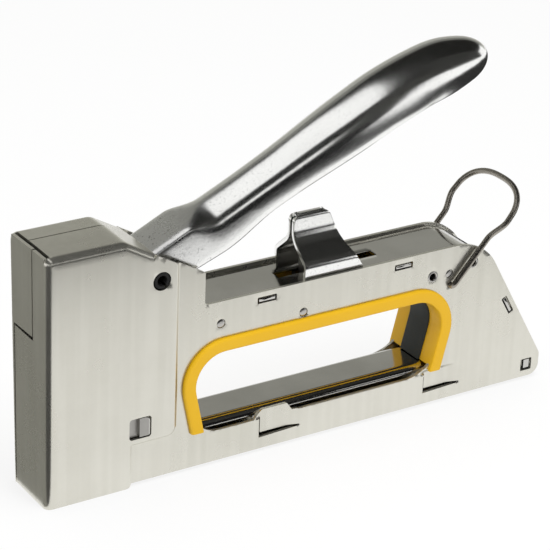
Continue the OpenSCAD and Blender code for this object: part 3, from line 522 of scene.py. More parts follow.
def satin(shop):
    streak = shop.noise(1.0, 1.0, stretch=(420.0, 420.0, 14.0))
    fine = shop.noise(2600.0, 2.0)
    smear = shop.noise(38.0, 5.0, 0.6)
    share = smear.above(0.35, 0.7) * 0.6 + streak.above(0.3, 0.75) * 0.4
    return {
        "Base Color": shop.mix(share, (0.68, 0.665, 0.59), (0.77, 0.755, 0.68)),
        "Metallic": 0.92,
        "Roughness": 0.22 + smear * 0.12,
        "Normal": shop.bump(0.04, 0.00002, fine),
    }


satin_nickel = surface("satin_nickel", satin)

body_path = [
    (FOOT_X - 1, KEEL, 0),
    (LENGTH, KEEL, 3.5),
    (LENGTH, TAIL_Z, 3),
    (LENGTH - (DECK_EDGE - TAIL_Z) / math.tan(TAIL_ANGLE), DECK_EDGE, TAIL_R),
    (BACK_X, DECK_EDGE, 1.2),
    (BACK_X, BACK_Z, 0.8),
]

grip_corners = (39.9, 99.7, 40.1, 10.7, math.tan(math.radians(12.2)), math.tan(math.radians(13.5)), 13.5)


def grip_path(floor):
    x, length, roof, _, front, rear, r = grip_corners
    return [
        (x + (roof - floor) * front, floor, 0),
        (x + length - (roof - floor) * rear, floor, 0),
        (x + length, roof, r),
        (x, roof, r),
    ]


def hand_hole(bump):
    floor = grip_corners[3]
    h = inset(grip_path(floor), 2.0)
    shelf = [(67.4, floor, 0.8), (70.8, floor + 2.2, 1.5), (79.4, floor + 2.2, 0.8), (80.8, floor, 0.4)]
    return rounded([(h[0][0], floor, 10), *(shelf if bump else []), (h[1][0], floor, 13), h[2], h[3]])


CUT = 1.0


def lancing(x, z, long, tall):
    """Sheared line that frees a tongue on its front and lower edges."""
    return rounded([
        (x, z, 0.1), (x + long - 1.5, z + 0.5, 0.1), (x + long, z + CUT, 0.1), (x + CUT, z + CUT, 0.1),
        (x + CUT, z + tall, 0.3), (x, z + tall - 0.6, 0.3),
    ])


def pressed_in(x, z, start, low, long, tall, opens):
    """How far a tongue is pressed in: level, then a ramp at its rear."""
    ramp = np.clip((start + long - x) / 4.2, 0, 1)
    ahead = np.where(z > low + tall, np.clip((x - start + 2.0) / 3.0, 0, 1), x > start + CUT / 2)
    above = 1.0 if opens else np.clip((low + tall + 1.6 - z) / 1.4, 0, 1)
    return 1.12 * ramp * ahead * above * (z > low + CUT / 2)


def turned_slot(x, z, long, tall, angle=0.0, r=0.35):
    c, s = math.cos(angle), math.sin(angle)
    corners = [(-long, -tall), (long, -tall), (long, tall), (-long, tall)]
    return rounded([(x + (c * a - s * b) / 2, z + (s * a + c * b) / 2, r) for a, b in corners])


tail_slot_x = LENGTH - (27.5 - TAIL_Z) / math.tan(TAIL_ANGLE) - 2.5 / math.sin(TAIL_ANGLE)
TONGUES = ((69.2, 4.6, 14.6, 6.4, True), (127.4, 4.6, 14.0, 6.2, False))
wall_holes = [
    *(lancing(*place[:4]) for place in TONGUES),
    turned_slot(70.5, 48.9, 6.4, 2.0),
    turned_slot(117.6, 48.9, 6.4, 2.0),
    turned_slot(tail_slot_x, 27.5, 6.4, 2.0, -TAIL_ANGLE),
    turned_slot(29.4, 18.6, 7.0, 6.6, 0.0, 0.9),
    turned_slot(166.65, 5.0, 4.1, 4.0),
    circle(*PIVOT, 2.8),
    *(circle(*place, 1.8) for place in EYELETS),
    circle(*LOCK, 1.01, 20),
    *(circle(*place, 1.4) for place in RIVETS),
]


def leant(x, y, z):
    """Nose places lean outwards towards the top."""
    return np.stack([x, y * math.cos(TAPER) - z * math.sin(TAPER),
                     np.minimum(y * math.sin(TAPER) + z * math.cos(TAPER), HEIGHT)], axis=-1)


def wall_place(flat):
    """Outer face of the near wall over side-view points, with the joggle round the nose panel."""
    x, z = flat[:, 0], flat[:, 1]
    dx, dz = x - RAISED_X + 2.0, RAISED_Z + 2.0 - z
    panel = np.hypot(np.maximum(dx, 0), np.maximum(dz, 0)) + np.minimum(np.maximum(dx, dz), 0) - 2.0
    away = np.minimum(panel, x - FOOT_X)
    t = np.clip(away / 1.3, 0, 1)
    proud = 1 - t * t * (3 - 2 * t)
    nose = leant(x, np.full(len(x), -FOOT_HALF), z)
    flat_wall = np.stack([x, np.full(len(x), -BODY_HALF), z], axis=-1)
    out = nose * proud[:, None] + flat_wall * (1 - proud[:, None])
    near = (z < 15) & (x > 66)
    for place in TONGUES:
        out[near, 1] += pressed_in(x[near], z[near], *place)
    return out


def lattice(x0, x1, x_step, z0, z1, z_step):
    """Points of an even grid in side view."""
    x, z = np.meshgrid(np.arange(x0, x1, x_step), np.arange(z0, z1, z_step))
    return np.stack([x.ravel(), z.ravel()], axis=1)


def plate(name, upper_y, lower_y, top_y, lap_z, mirrored):
    """One side plate. Flange widths are where each ends across the nose, on the near plate."""
    wall_top = HEIGHT - FOLD
    bend_r = 3.0
    # the fold lines: down the front, and along the top then down the rear slope
    turn, bend_steps = SLOPE, 5
    slope_end_x = 33.5 - FOLD * math.sin(turn)
    bend_x = TOP_LEN - (FOLD + bend_r) * math.tan(turn / 2)
    bend = [turn * k / bend_steps for k in range(bend_steps + 1)]
    line = [(bend_x + bend_r * math.sin(a), wall_top - bend_r * (1 - math.cos(a))) for a in bend]
    sx, sz = line[-1]
    run = slope_end_x - sx
    line += [(sx + run * k / 8, sz - run * math.tan(turn) * k / 8) for k in range(1, 9)]
    front = [(FOLD, float(z)) for z in np.linspace(0, wall_top, 76)]
    level = [(x, wall_top) for x in np.linspace(FOLD, line[0][0], 24)][1:]
    rim = front + level + line[1:]
    end_x, end_z = rim[-1]
    # from the end of the slope fold the plain edge runs on behind the handle
    outline = rounded([
        (end_x, end_z, 0.0),
        (end_x + FOLD * math.sin(turn), end_z + FOLD * math.cos(turn) - 0.05, 0.0),
        (BACK_X, BACK_Z, 0.8), (BACK_X, DECK_EDGE, 1.2), *body_path[3:0:-1],
        (FOOT_X + 1.0, KEEL, 0.6), (FOOT_X, 0, 2.5), (FOLD, 0.0, 0.0),
    ], 4.0)
    loop = [np.array(p, float) for p in rim] + denser([*outline[1:-1], np.array((FOLD, 0.0))], 1.0)[:-1]
    loops = [loop] + [denser(hole, 1.0) for hole in [hand_hole(not mirrored), *wall_holes]]
    # a coarse grid, with finer ones along the joggle's two upright runs, its level run and the tongues
    coarse, fine = lattice(0.5, LENGTH, 1.6, 0.5, HEIGHT, 1.6), lattice(24.6, 43.0, 0.36, 0.2, 70.0, 0.7)
    level_run, tongues = lattice(25.0, 42.5, 0.7, 12.8, 16.6, 0.36), lattice(66.0, 145.0, 0.5, 3.6, 14.0, 0.5)
    x, z = fine.T
    near = ((np.abs(x - RAISED_X - 0.6) < 1.3) & (z > 13.0)) | ((np.abs(x - FOOT_X - 0.6) < 1.3) & (z < 17.0))
    tongues = tongues[(tongues[:, 0] < 85.5) | (tongues[:, 0] > 125.5)]
    x, z = coarse.T
    away = (np.abs(x - RAISED_X - 0.6) > 1.6) | (z < 13)
    away &= (np.abs(x - FOOT_X - 0.6) > 1.6) | (z > 17)
    away &= ~((x > 25) & (x < 42) & (np.abs(z - 14.7) < 2.2))
    away &= ~((z > 3) & (z < 14.2) & (x > 65.5) & (x < 145.5) & ((x < 86) | (x > 125)))
    flat, faces = filled(loops, [(coarse[away], 0.5), (fine[near], 0.25), (level_run, 0.25), (tongues, 0.2)])
    shell = Shell()
    shell.add(wall_place(flat), faces)

    def nose_grid(rows):
        rows = np.array(rows)
        shell.grid(leant(*(rows[..., k].ravel() for k in range(3))).reshape(rows.shape))

    def flange(fold_line, outward, reach, steps):
        """Grid that rolls round a fold line and runs on to reach(x, z) across the nose."""
        rows = []
        for (x, z), (ox, oz) in zip(fold_line, outward):
            row = []
            for k in range(9):
                a = math.pi / 2 * k / 8
                row.append((x + ox * FOLD * math.sin(a), -FOOT_HALF + FOLD * (1 - math.cos(a)),
                            z + oz * FOLD * math.sin(a)))
            first = -FOOT_HALF + FOLD
            for y in np.linspace(first, max(reach(x, z), first + 0.02), steps)[1:]:
                row.append((x + ox * FOLD, y, z + oz * FOLD))
            rows.append(row)
        nose_grid(rows)

    tilt = math.tan(TAPER)
    split = (FOLD, lap_z)
    low = [p for p in front if p[1] < lap_z - 0.2]
    flange([*low, split], [(-1, 0)] * (len(low) + 1), lambda x, z: lower_y + z * tilt, 24)
    upper = [split, *[p for p in front if p[1] > lap_z + 0.2]]
    flange(upper, [(-1, 0)] * len(upper), lambda x, z: upper_y + z * tilt, 12)
    tops = [(FOLD, wall_top)] + level + line[1:]
    outs = []
    for i, p in enumerate(tops):
        if p[0] <= line[0][0] + 1e-6:
            outs.append((0.0, 1.0))
        else:
            k = min(5, sum(1 for q in line[1:6] if q[0] <= p[0] + 1e-6))
            a = turn * k / 5
            outs.append((math.sin(a), math.cos(a)))
    flange(tops, outs, lambda x, z: top_y + HEIGHT * tilt, 18)
    # the front flange's end above the fold and the rounded corner where the folds meet
    first = -FOOT_HALF + FOLD
    end = upper_y + HEIGHT * tilt
    nose_grid([
        [(0.0, y, z) for y in np.linspace(first, end, 12)] for z in np.linspace(wall_top, HEIGHT - 0.15, 4)
    ])
    quarter = [math.pi / 2 * k / 6 for k in range(7)]
    nose_grid([[(
        FOLD - FOLD * math.cos(b) * math.sin(a),
        first - FOLD * math.cos(b) * math.cos(a),
        wall_top + FOLD * math.sin(b),
    ) for a in quarter] for b in quarter])
    if mirrored:
        shell.verts = [(x, -y, z) for x, y, z in shell.verts]
    thing = shell.piece(name + "_pressing", 0.01)

    # outward on the wall means away from the mid-plane
    faced(thing, lambda faces: (sum(f.normal.y * f.calc_area() for f in faces) > 0) != mirrored)
    modified(thing, "SOLIDIFY", thickness=SHEET / 1000, offset=-1.0)
    bevelled(thing, 0.12)
    settle(thing, satin_nickel, 40.0)
    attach(thing, "body")
    return thing


SEAM = 0.25
near_plate = plate("left", -2.8 - SEAM, 8.1 - SEAM, 2.9 - SEAM, 49.3, False)
far_plate = plate("right", 2.8 - SEAM, -8.1 - SEAM, -2.9 - SEAM, 50.2, True)
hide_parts("left_side_plate")
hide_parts("right_side_plate")

# ------------------------------------------------------------------ deck
# One steel strip closes the body between the plates. It lies level behind the nose, turns down
# round the tail, is polished bright, and is held by tabs that pass through slots in the plates.

DECK_DROP = 2.0
TAIL_RUN = (DECK_EDGE - TAIL_Z) / math.tan(TAIL_ANGLE)
DECK_HALF = BODY_HALF - SHEET - 0.05


def deck_line(d, foot, r):
    """Points along the deck and down the tail, d inside the body's outline."""
    corner_x = LENGTH - TAIL_RUN - d * math.tan(TAIL_ANGLE / 2)
    top = DECK_EDGE - d
    corner = np.array((corner_x, top))
    down = np.array((math.cos(TAIL_ANGLE), -math.sin(TAIL_ANGLE)))
    reach = r * math.tan(TAIL_ANGLE / 2)
    start = corner - (reach, 0)
    points = [np.array((x, top)) for x in np.linspace(42.0, start[0], 90)]
    middle = start - (0, r)
    for k in range(1, 25):
        a = TAIL_ANGLE * k / 24
        points.append(middle + r * np.array((math.sin(a), math.cos(a))))
    end = points[-1]
    length = (end[1] - foot) / math.sin(TAIL_ANGLE)
    points += [end + down * length * k / 40 for k in range(1, 41)]
    return points


def mirror_steel(shop):
    wide = shop.noise(55.0, 3.0)
    drawn = shop.noise(1.0, 3.0, stretch=(30.0, 900.0, 900.0))
    return {
        "Base Color": shop.mix(wide.above(0.3, 0.7), (0.56, 0.55, 0.52), (0.64, 0.63, 0.60)),
        "Metallic": 1.0,
        "Roughness": 0.07 + drawn * 0.06 + wide * 0.05,
        "Normal": shop.bump(0.15, 0.00003, drawn),
    }


deck_steel = surface("deck_steel", mirror_steel)
shell = Shell()
columns = [-DECK_HALF, -6.6, -4.4, -1.8, 1.8, 4.4, 6.6, DECK_HALF]
rows = [[(p[0], y, p[1]) for y in columns] for p in deck_line(DECK_DROP, 14.5, TAIL_R - DECK_DROP)]
shell.grid(rows)
width = len(columns)
shell.faces = [
    f for f in shell.faces
    if not (78.4 < shell.verts[f[0]][0] < 112.8 and shell.verts[f[0]][2] > 40 and f[0] % width == 3)
]
deck = shell.piece("deck_strip")
modified(deck, "SOLIDIFY", thickness=SHEET / 1000, offset=-1.0)
bevelled(deck, 0.15)
settle(deck, deck_steel, 40.0)


def prism(name, outline, y0, y1, place=np.array):
    """Side-view outline carried across from y0 to y1; place maps the corners into the nose's frame."""
    shell = Shell()
    count = len(outline)
    shell.add(place([(p[0], y, p[1]) for y in (y0, y1) for p in outline]), [
        *[(k, (k + 1) % count, count + (k + 1) % count, count + k) for k in range(count)],
        tuple(range(count))[::-1], tuple(range(count, 2 * count)),
    ])
    thing = shell.piece(name, 0)
    faced(thing)
    return thing


def block(name, outline, y0, y1, material, body, slot, bevel=0.15, sharp=35.0):
    thing = bevelled(prism(name, outline, y0, y1), bevel, angle=40)
    settle(thing, material, sharp)
    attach(thing, body)
    return thing




def tab(name, outline, inner, outer, bevel):
    """A deck tab in either plate, from inner to outer half width."""
    for side_name, sign in (("left", -1), ("right", 1)):
        block(name.format(side_name), outline, *sorted((sign * inner, sign * outer)), deck_steel, "body",
              "deck_steel", bevel)


for number, (x, z, turn) in enumerate((
    (70.5, 48.9, 0), (117.6, 48.9, 0), (tail_slot_x, 27.5, -TAIL_ANGLE),
)):
    tab("deck_tab_{}_" + str(number + 1), turned_slot(x, z, 5.4, 1.0, turn, 0.2),
        DECK_HALF - 0.2, BODY_HALF, 0.2)
tab("tail_tab_{}", turned_slot(166.9, 5.2, 2.2, 3.0, 0, 0.2), DECK_HALF - 0.2, BODY_HALF - 0.15, 0.3)
tab("guide_tab_{}", rounded([(29.6, 15.7, 0.3), (32.5, 15.7, 0.3), (32.5, 21.4, 1.2), (29.6, 21.4, 0.6)]),
    9.0, 10.6, 0.4)
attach(deck, "body")
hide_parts("spine_strip")

# ------------------------------------------------------------------ staple channel
# A bright steel channel folded over the magazine, with round shoulders and small outward feet.
# Its polished top closes the floor of the hand opening.

shell = Shell()
half, top_z, r, t = 7.4, 13.3, 2.6, 1.2
foot_z, foot_y = 1.3, 8.65


def shoulder(half, top, r, parts):
    return [
        (half - r + r * math.cos(math.pi / 2 * k / parts), top - r + r * math.sin(math.pi / 2 * k / parts))
        for k in range(parts + 1)
    ]


outer = [(foot_y, foot_z), (foot_y, foot_z + t), (half, foot_z + t), *shoulder(half, top_z, r, 12)]
inner = [(half - t, foot_z), *shoulder(half - t, top_z - t, r - t, 8)]
outline = outer + [(-y, z) for y, z in outer[::-1]] + [(-y, z) for y, z in inner] + inner[::-1]
stations = np.linspace(4.5, 168.2, 60)
shell.grid([[(x, y, z) for y, z in outline] for x in stations], closed=True)
for x in (stations[0], stations[-1]):
    shell.cap([(x, y, z) for y, z in outline], outline)
channel = shell.piece("staple_channel_folded", 0.004)
faced(channel)
bevelled(channel, 0.12)
settle(channel, deck_steel, 30.0)
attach(channel, "body")
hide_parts("staple_channel")

# ------------------------------------------------------------------ hand grip
# A yellow plastic liner is snapped over the edge of the hand opening. A soft dark insert is set
# in its inner face where the fingers pull.


def grip_line(d, end_z, parts=14):
    """Path round the grip, d inside its outer edge, from one leg's end to the other's."""
    points = rounded(inset(grip_path(grip_corners[2] - 40), d), 90.0 / parts)
    feet, rest = points[:2], points[2:]
    half = len(rest) // 2
    back, fore = rest[:half][::-1], rest[half:][::-1]

    def foot(at, towards):
        share = (end_z - at[1]) / (towards[1] - at[1])
        return at + (towards - at) * share

    def run(a, b, n):
        return [a + (b - a) * k / n for k in range(n)]

    a = foot(np.array(feet[0]), np.array(fore[0]))
    b = foot(np.array(feet[1]), np.array(back[-1]))
    return [*run(a, fore[0], 12), *fore[:-1], *run(fore[-1], back[0], 50), *back[:-1],
            *run(back[-1], b, 12), b]


def band(name, profile, material, node, sharp):
    """Sweeps a closed profile of (distance inwards, y, end height) round the grip."""
    shell = Shell()
    lines = [grip_line(d, end_z) for d, _, end_z in profile]
    rows = [[(p[0], y, p[1]) for p, (_, y, _) in zip(ring, profile)] for ring in zip(*lines)]
    shell.grid(rows, closed=True)
    for row in (rows[0], rows[-1]):
        shell.cap(row, [(d, y) for d, y, _ in profile])
    thing = shell.piece(name, 0.003)
    faced(thing)
    settle(thing, material, sharp)
    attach(thing, "body")
    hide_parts(node)
    return thing


def yellow_plastic(shop):
    grain = shop.noise(1500.0, 3.0)
    cloud = shop.noise(60.0, 2.0)
    return {
        "Base Color": shop.mix(cloud, (0.80, 0.45, 0.006), (0.84, 0.50, 0.012)),
        "Roughness": 0.36 + grain * 0.12,
        "Specular IOR Level": 0.35,
        "Normal": shop.bump(0.25, 0.00004, grain),
    }


yellow = surface("yellow_plastic", yellow_plastic)
charcoal = grained("charcoal_rubber", 900.0, 4.0, ((0.018, 0.023, 0.022), (0.032, 0.038, 0.036)),
                   (0.55, 0.2), bump=(0.4, 0.00006))
R = 0.55
groove_end, lip_end = 13.6, 12.0
half_profile = [
    (d, y, groove_end) for d, y in ((3.25, 0.0), (3.25, 4.72), (3.98, 4.76), (4.02, 4.95), (4.02, 9.6))
]
half_profile += [(4.02, 9.76, lip_end)]
for a in np.linspace(0, math.pi / 2, 7):
    half_profile.append((4.0 - R * (1 - math.cos(a)), 11.05 - R + R * math.sin(a), lip_end))
half_profile += [(2.8, 11.09, lip_end), (1.4, 11.09, lip_end)]
for a in np.linspace(0, math.pi / 2, 9):
    half_profile.append((0.9 - 0.9 * math.sin(a), 11.05 - 0.9 + 0.9 * math.cos(a), lip_end))
half_profile += [(0.0, 9.76, lip_end), (2.05, 9.76, lip_end), (2.05, 9.6, groove_end)]
profile = half_profile + [(d, -y, z) for d, y, z in half_profile[::-1] if y > 0]
band("grip_liner_moulded", profile, yellow, "grip_liner", 40.0)
half_profile = [
    (d, y, 13.62) for d, y in ((3.28, 0.0), (3.28, 4.66), (4.3, 4.66), (4.52, 4.55), (4.6, 4.2), (4.6, 0.0))
]
profile = half_profile + [(d, -y, z) for d, y, z in half_profile[::-1] if y > 0]
band("grip_insert_moulded", profile, charcoal, "grip_insert", 40.0)

# ------------------------------------------------------------------ handle
# A pressed steel lever, round backed and open below, chromed all over. Its front end is cut to
# an arch with two ears that are riveted to the lifting arms inside the nose.

HANDLE_ANGLE = math.radians(25.6)
WALL = 1.4
TABLES = {
    "w": ([20, 36, 50, 69, 84, 97, 108, 120], [7.5, 7.3, 7.5, 8.5, 8.8, 8.7, 8.8, 5.6]),
    "h": ([-14, 8, 27, 36, 50, 69, 84, 97, 108, 120], [6.1, 6.6, 7.4, 7.3, 7.5, 8.5, 8.8, 8.7, 8.8, 5.6]),
    "rise": ([-14, 8, 27, 60], [1.4, 0.9, 0, 0]),
    "open": ([0, 18, 40, 92, 112, 130], [132, 132, 143, 143, 168, 172]),
}


def eased(name, s):
    table = TABLES[name]
    return float(np.mean([np.interp(s + d, *table) for d in (-5, -2.5, 0, 0, 2.5, 5)]))


def roundness(s, start, end):
    """0.2 where the section is nearly a box, 1 where it is round."""
    k = min(1.0, max(0.0, (s - start) / (end - start)))
    return 0.2 + 0.8 * k * k * (3 - 2 * k)


def handle_ring(s, parts):
    """Outer section at s along the handle: straight, then drooping, then closing on a dome."""
    droop_s, droop_r, dome_s, dome_len, dome_steps = 81.5, 101.0, 114.7, 8.0, 8.4
    body_s, dome = min(s, dome_s), max(0.0, s - dome_s)
    turn = max(0.0, body_s - droop_s) / droop_r
    if body_s <= droop_s:
        middle = np.array((body_s, -1.2 + eased("rise", body_s)))
    else:
        middle = np.array((droop_s + droop_r * math.sin(turn), -1.2 - droop_r * (1 - math.cos(turn))))
    # the end closes on an ellipse that starts with the taper's own slope
    start, end = math.radians(26), math.radians(84)
    f = start + (end - start) * min(dome / dome_steps, 1.0)
    ahead = dome_len * (math.sin(f) - math.sin(start)) / (math.sin(end) - math.sin(start))
    middle = middle + np.array((math.cos(turn), -math.sin(turn))) * ahead
    w, h = (eased(key, body_s) * math.cos(f) / math.cos(start) for key in ("w", "h"))
    reach = math.radians(eased("open", body_s))
    out = []
    for f in np.linspace(-reach, reach, parts + 1):
        sy, cy = math.sin(f), math.cos(f)
        e, drop = roundness(body_s, 14, 24), 1.0
        if cy < 0:
            # the sides run straight down before their edges curl in
            free = (roundness(body_s, 20, 42) - 0.2) / 0.8
            shut = (roundness(body_s, 88, 112) - 0.2) / 0.8
            e, drop = 0.2 + 0.1 * free + 0.7 * shut, 1.0 - 0.25 * (free - shut)
        y = w * math.copysign(abs(sy) ** e, sy)
        b = h * drop * math.copysign(abs(cy) ** e, cy)
        out.append((middle[0] + b * math.sin(turn), y, middle[1] + b * math.cos(turn)))
    return out


def from_handle(points):
    """Places along the handle's axis, in the nose's frame."""
    p = np.asarray(points, float)
    c, s = math.cos(HANDLE_ANGLE), math.sin(HANDLE_ANGLE)
    return np.stack([PIVOT[0] + p[..., 0] * c - p[..., 2] * s, p[..., 1],
                     PIVOT[1] + p[..., 0] * s + p[..., 2] * c], axis=-1)


def bright_chrome(shop):
    peel = shop.noise(520.0, 3.0, 0.55)
    fine = shop.noise(1700.0, 2.0)
    along = shop.node("SeparateXYZ", values={0: shop.node("TexCoord", out=3)}, out=0)
    rough_zone = 1 - along.above(-0.052, -0.020)
    height = peel * 0.75 + fine * 0.25 + peel * rough_zone * 1.2
    pits = shop.noise(1500.0, 1.0).above(0.60, 0.75)
    return {
        "Base Color": shop.mix(pits * (0.25 + rough_zone * 0.6), (0.96, 0.96, 0.94), (0.50, 0.50, 0.48)),
        "Metallic": 1.0,
        "Roughness": 0.15 + fine * 0.05 + rough_zone * 0.12,
        "Normal": shop.bump(0.14, 0.0001, height),
    }


chrome = surface("bright_chrome", bright_chrome)
shell = Shell()
stations = [*np.arange(-16, 8.1, 1.5), *np.arange(9, 30, 0.75), *np.arange(30, 114, 1.4)]
stations += [114.7 + k * 0.42 for k in range(21)]
rows = from_handle([handle_ring(s, 56) for s in stations])
shell.grid(rows)
handle = shell.piece("handle_pressing", 0.002)
faced(handle, lambda faces: max(faces, key=lambda f: f.calc_center_median().z).normal.z < 0)
modified(handle, "SOLIDIFY", thickness=WALL / 1000, offset=-1.0)


EAR_A, EAR_R = -9.4, 4.6
ears = [p for p in circle(EAR_A, 0, EAR_R, 36) if p[0] < EAR_A + 0.01]
ear_line = sorted(ears, key=lambda p: math.atan2(p[1], p[0] - EAR_A) % (2 * math.pi))
outline = [np.array(p) for p in (
    (-30, -20), (60, -20), (60, -16), (3.4, -16), (3.2, -6.5), (1.0, -6.2),
)]
outline += [p for p in ear_line[::-1]]
outline += [np.array(p) for p in ((1.0, 5.0), (1.55, 5.6), (1.6, 6.2), (1.6, 20), (-30, 20))]
trims = [prism("trim_" + name, edge, -14, 14, from_handle) for name, edge in (
    ("front", outline), ("bore", circle(0, 0, 3.85, 40)), ("rivet", circle(EAR_A + 1, 0, 1.45, 24)))]
for trim in trims:
    modified(handle, "BOOLEAN", operation="DIFFERENCE", solver="EXACT", object=trim, use_self=True)
bevelled(handle, 0.3, 3)
settle(handle, chrome, 40.0)
for trim in trims:
    bpy.data.objects.remove(trim)
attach(handle, "handle")
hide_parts("handle_shell")

# ------------------------------------------------------------------ force adjuster
# A chromed saddle that slides on the deck, with a thumb tab pressed up from it. Its key rides
# in the deck's slot.

SKIRT_HALF, TAB_HALF, SADDLE_Z, TAB_X, TAB_TOP = 8.4, 1.6, 49.5, 84.0, 68.6


def bell(count):
    """Half of the saddle's outer section, from the foot of the skirt up to the tab's top."""
    path = [
        (SKIRT_HALF, SADDLE_Z, 0), (SKIRT_HALF, SADDLE_Z + 6, 2.6),
        (TAB_HALF, SADDLE_Z + 12, 5), (TAB_HALF, TAB_TOP, 1.2), (0, TAB_TOP, 0),
    ]
    loop = rounded([*path, (-2, SADDLE_Z - 4, 0)], 8)[:-1]
    line = np.array(loop)
    run = np.concatenate([[0], np.cumsum(np.linalg.norm(np.diff(line, axis=0), axis=1))])
    at = np.linspace(0, run[-1], count)
    return np.stack([np.interp(at, run, line[:, 0]), np.interp(at, run, line[:, 1])], axis=1)


def rear_edge(z):
    """How far back the saddle reaches at height z."""
    line = rounded([
        (TAB_X + 20.5, SADDLE_Z - 3, 0), (TAB_X + 20.2, SADDLE_Z + 1.6, 3), (TAB_X + 15.6, SADDLE_Z + 9, 3),
        (TAB_X + 14, TAB_TOP - 5.5, 3), (TAB_X + 11.6, TAB_TOP, 3), (TAB_X, TAB_TOP, 0),
        (TAB_X - 9, SADDLE_Z, 0),
    ], 8)
    back = sorted((p for p in line if p[0] > TAB_X + 9), key=lambda p: p[1])
    return float(np.interp(z, [p[1] for p in back], [p[0] for p in back]))


def fore_edge(z):
    r = 2.5
    return TAB_X + (r - math.sqrt(max(0.0, r * r - max(0.0, z - (TAB_TOP - r)) ** 2)))


section = bell(64)
shell = Shell()
rows = []
for y, z in section:
    x0, x1 = fore_edge(min(z, TAB_TOP - 0.02)), rear_edge(z)
    rows.append([(x0 + (x1 - x0) * k / 22, -y, z) for k in range(23)])
shell.grid(rows)
rows = [[(x, -y, z) for x, y, z in row] for row in rows]
shell.grid(rows)
saddle = shell.piece("force_slider_pressing", 0.004)


def skirt_inverted(faces):
    """Whether the outermost face of the skirt looks inwards."""
    widest = max(faces, key=lambda f: abs(f.calc_center_median().y))
    return widest.normal.y * widest.calc_center_median().y < 0


faced(saddle, skirt_inverted)
modified(saddle, "SOLIDIFY", thickness=1.2 / 1000, offset=-1.0)
bevelled(saddle, 0.3, 3)
settle(saddle, chrome, 40.0)
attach(saddle, "force_slider")
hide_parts("force_slider")

# ------------------------------------------------------------------ handle lock
# A loop of hard nickelled wire sprung into a hole in each plate. It swings over the end of the
# handle and keeps it down.

WIRE_D = 1.8
LOCK_ANGLE = math.radians(48.5)


def tube(shell, path, radius, sides):
    """Round wire along a path, closed at both ends."""
    path = np.asarray(path, float)
    ahead = np.gradient(path, axis=0)
    ahead /= np.linalg.norm(ahead, axis=1)[:, None]
    e = np.cross(ahead[0], (0, 0, 1) if abs(ahead[0][2]) < 0.9 else (1, 0, 0))
    rows = []
    for p, d in zip(path, ahead):
        e = e - d * (e @ d)
        e /= np.linalg.norm(e)
        g = np.cross(d, e)
        rows.append([
            p + radius * (math.cos(2 * math.pi * k / sides) * e + math.sin(2 * math.pi * k / sides) * g)
            for k in range(sides)
        ])
    first = len(shell.verts)
    shell.grid(rows, closed=True)
    last = first + (len(rows) - 1) * sides
    shell.faces.append(tuple(first + k for k in range(sides))[::-1])
    shell.faces.append(tuple(last + k for k in range(sides)))


def smooth_path(points, count):
    """Catmull-Rom curve through points, evenly spaced."""
    p = np.asarray(points, float)
    p = np.vstack([2 * p[0] - p[1], p, 2 * p[-1] - p[-2]])
    out = []
    for i in range(1, len(p) - 2):
        for t in np.linspace(0, 1, 16, endpoint=False):
            a, b, c, d = p[i - 1:i + 3]
            out.append(0.5 * (2 * b + (c - a) * t + (2 * a - 5 * b + 4 * c - d) * t * t
                              + (3 * b - a - 3 * c + d) * t ** 3))
    out = np.array([*out, p[-2]])
    run = np.concatenate([[0], np.cumsum(np.linalg.norm(np.diff(out, axis=0), axis=1))])
    at = np.linspace(0, run[-1], count)
    return np.stack([np.interp(at, run, out[:, k]) for k in range(out.shape[1])], axis=1)


leg_half, loop_half, leg_s, bend_s, leg_r, reach = 11.05, 13.7, 17.5, 25.0, 1.2, 35.9
half_path = [(0, 8.8), (0, 9.3)]
half_path += [
    (leg_r * (1 - math.cos(a)), leg_half - leg_r * (1 - math.sin(a)))
    for a in np.linspace(0, math.pi / 2, 7)
]
half_path += [(s, leg_half) for s in (4, 8, 12, 15)]
for k in range(7):
    q = k / 6
    half_path.append((
        leg_s + (bend_s - leg_s) * q, leg_half + (loop_half - leg_half) * (3 * q * q - 2 * q ** 3)
    ))
half_path += [
    (bend_s + (reach - bend_s) * math.sin(f) ** 0.8, loop_half * math.cos(f) ** 0.8)
    for f in (math.radians(k) for k in range(12, 90, 6))
]
plane = half_path + [(reach, 0.0)] + [(s, -y) for s, y in half_path[::-1]]
plane = smooth_path(plane, 260)
c, s = math.cos(LOCK_ANGLE), math.sin(LOCK_ANGLE)


wire_steel = grained("wire_steel", 300.0, 4.0, ((0.36, 0.335, 0.29), (0.47, 0.44, 0.39)),
                     (0.30, 0.12), 1.0, (0.2, 0.00003))
shell = Shell()
tube(shell, [(LOCK[0] + u * c, v, LOCK[1] + u * s) for u, v in plane], WIRE_D / 2, 24)
wire = shell.piece("handle_lock_loop", 0)
faced(wire)
settle(wire, wire_steel, 50.0)
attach(wire, "handle_lock")
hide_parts("handle_lock_wire")

# ------------------------------------------------------------------ pins and rivets
# A black split pin carries the handle; round-headed rivets and two hollow eyelets hold the
# plates together over their spacers.


def turned(shell, x, z, profile, sides=40):
    """A round thing across the body from (radius, y) points; radius 0 closes it."""
    rows = []
    for k in range(sides):
        a = 2 * math.pi * k / sides
        rows.append([(x + r * math.cos(a), y, z + r * math.sin(a)) for r, y in profile])
    rows.append(rows[0])
    shell.grid(rows)


def plain_steel(shop):
    cloud = shop.noise(250.0, 4.0)
    grain = shop.noise(2200.0, 2.0)
    return {
        "Base Color": shop.mix(cloud, (0.50, 0.49, 0.465), (0.62, 0.61, 0.58)),
        "Metallic": 1.0,
        "Roughness": 0.24 + cloud * 0.12,
        "Normal": shop.bump(0.15, 0.00003, grain),
    }


# black oxide for the pivot pin; the same finish on the nose guide is painted shade that darkens the slot in
# the nose
black_and_painted_shade = grained("black_oxide_and_painted_shade", 700.0, 3.0, ((0.012, 0.012, 0.013), (0.03, 0.03, 0.03)), (0.38, 0.15), 0.6)
plain = surface("plain_steel", plain_steel)

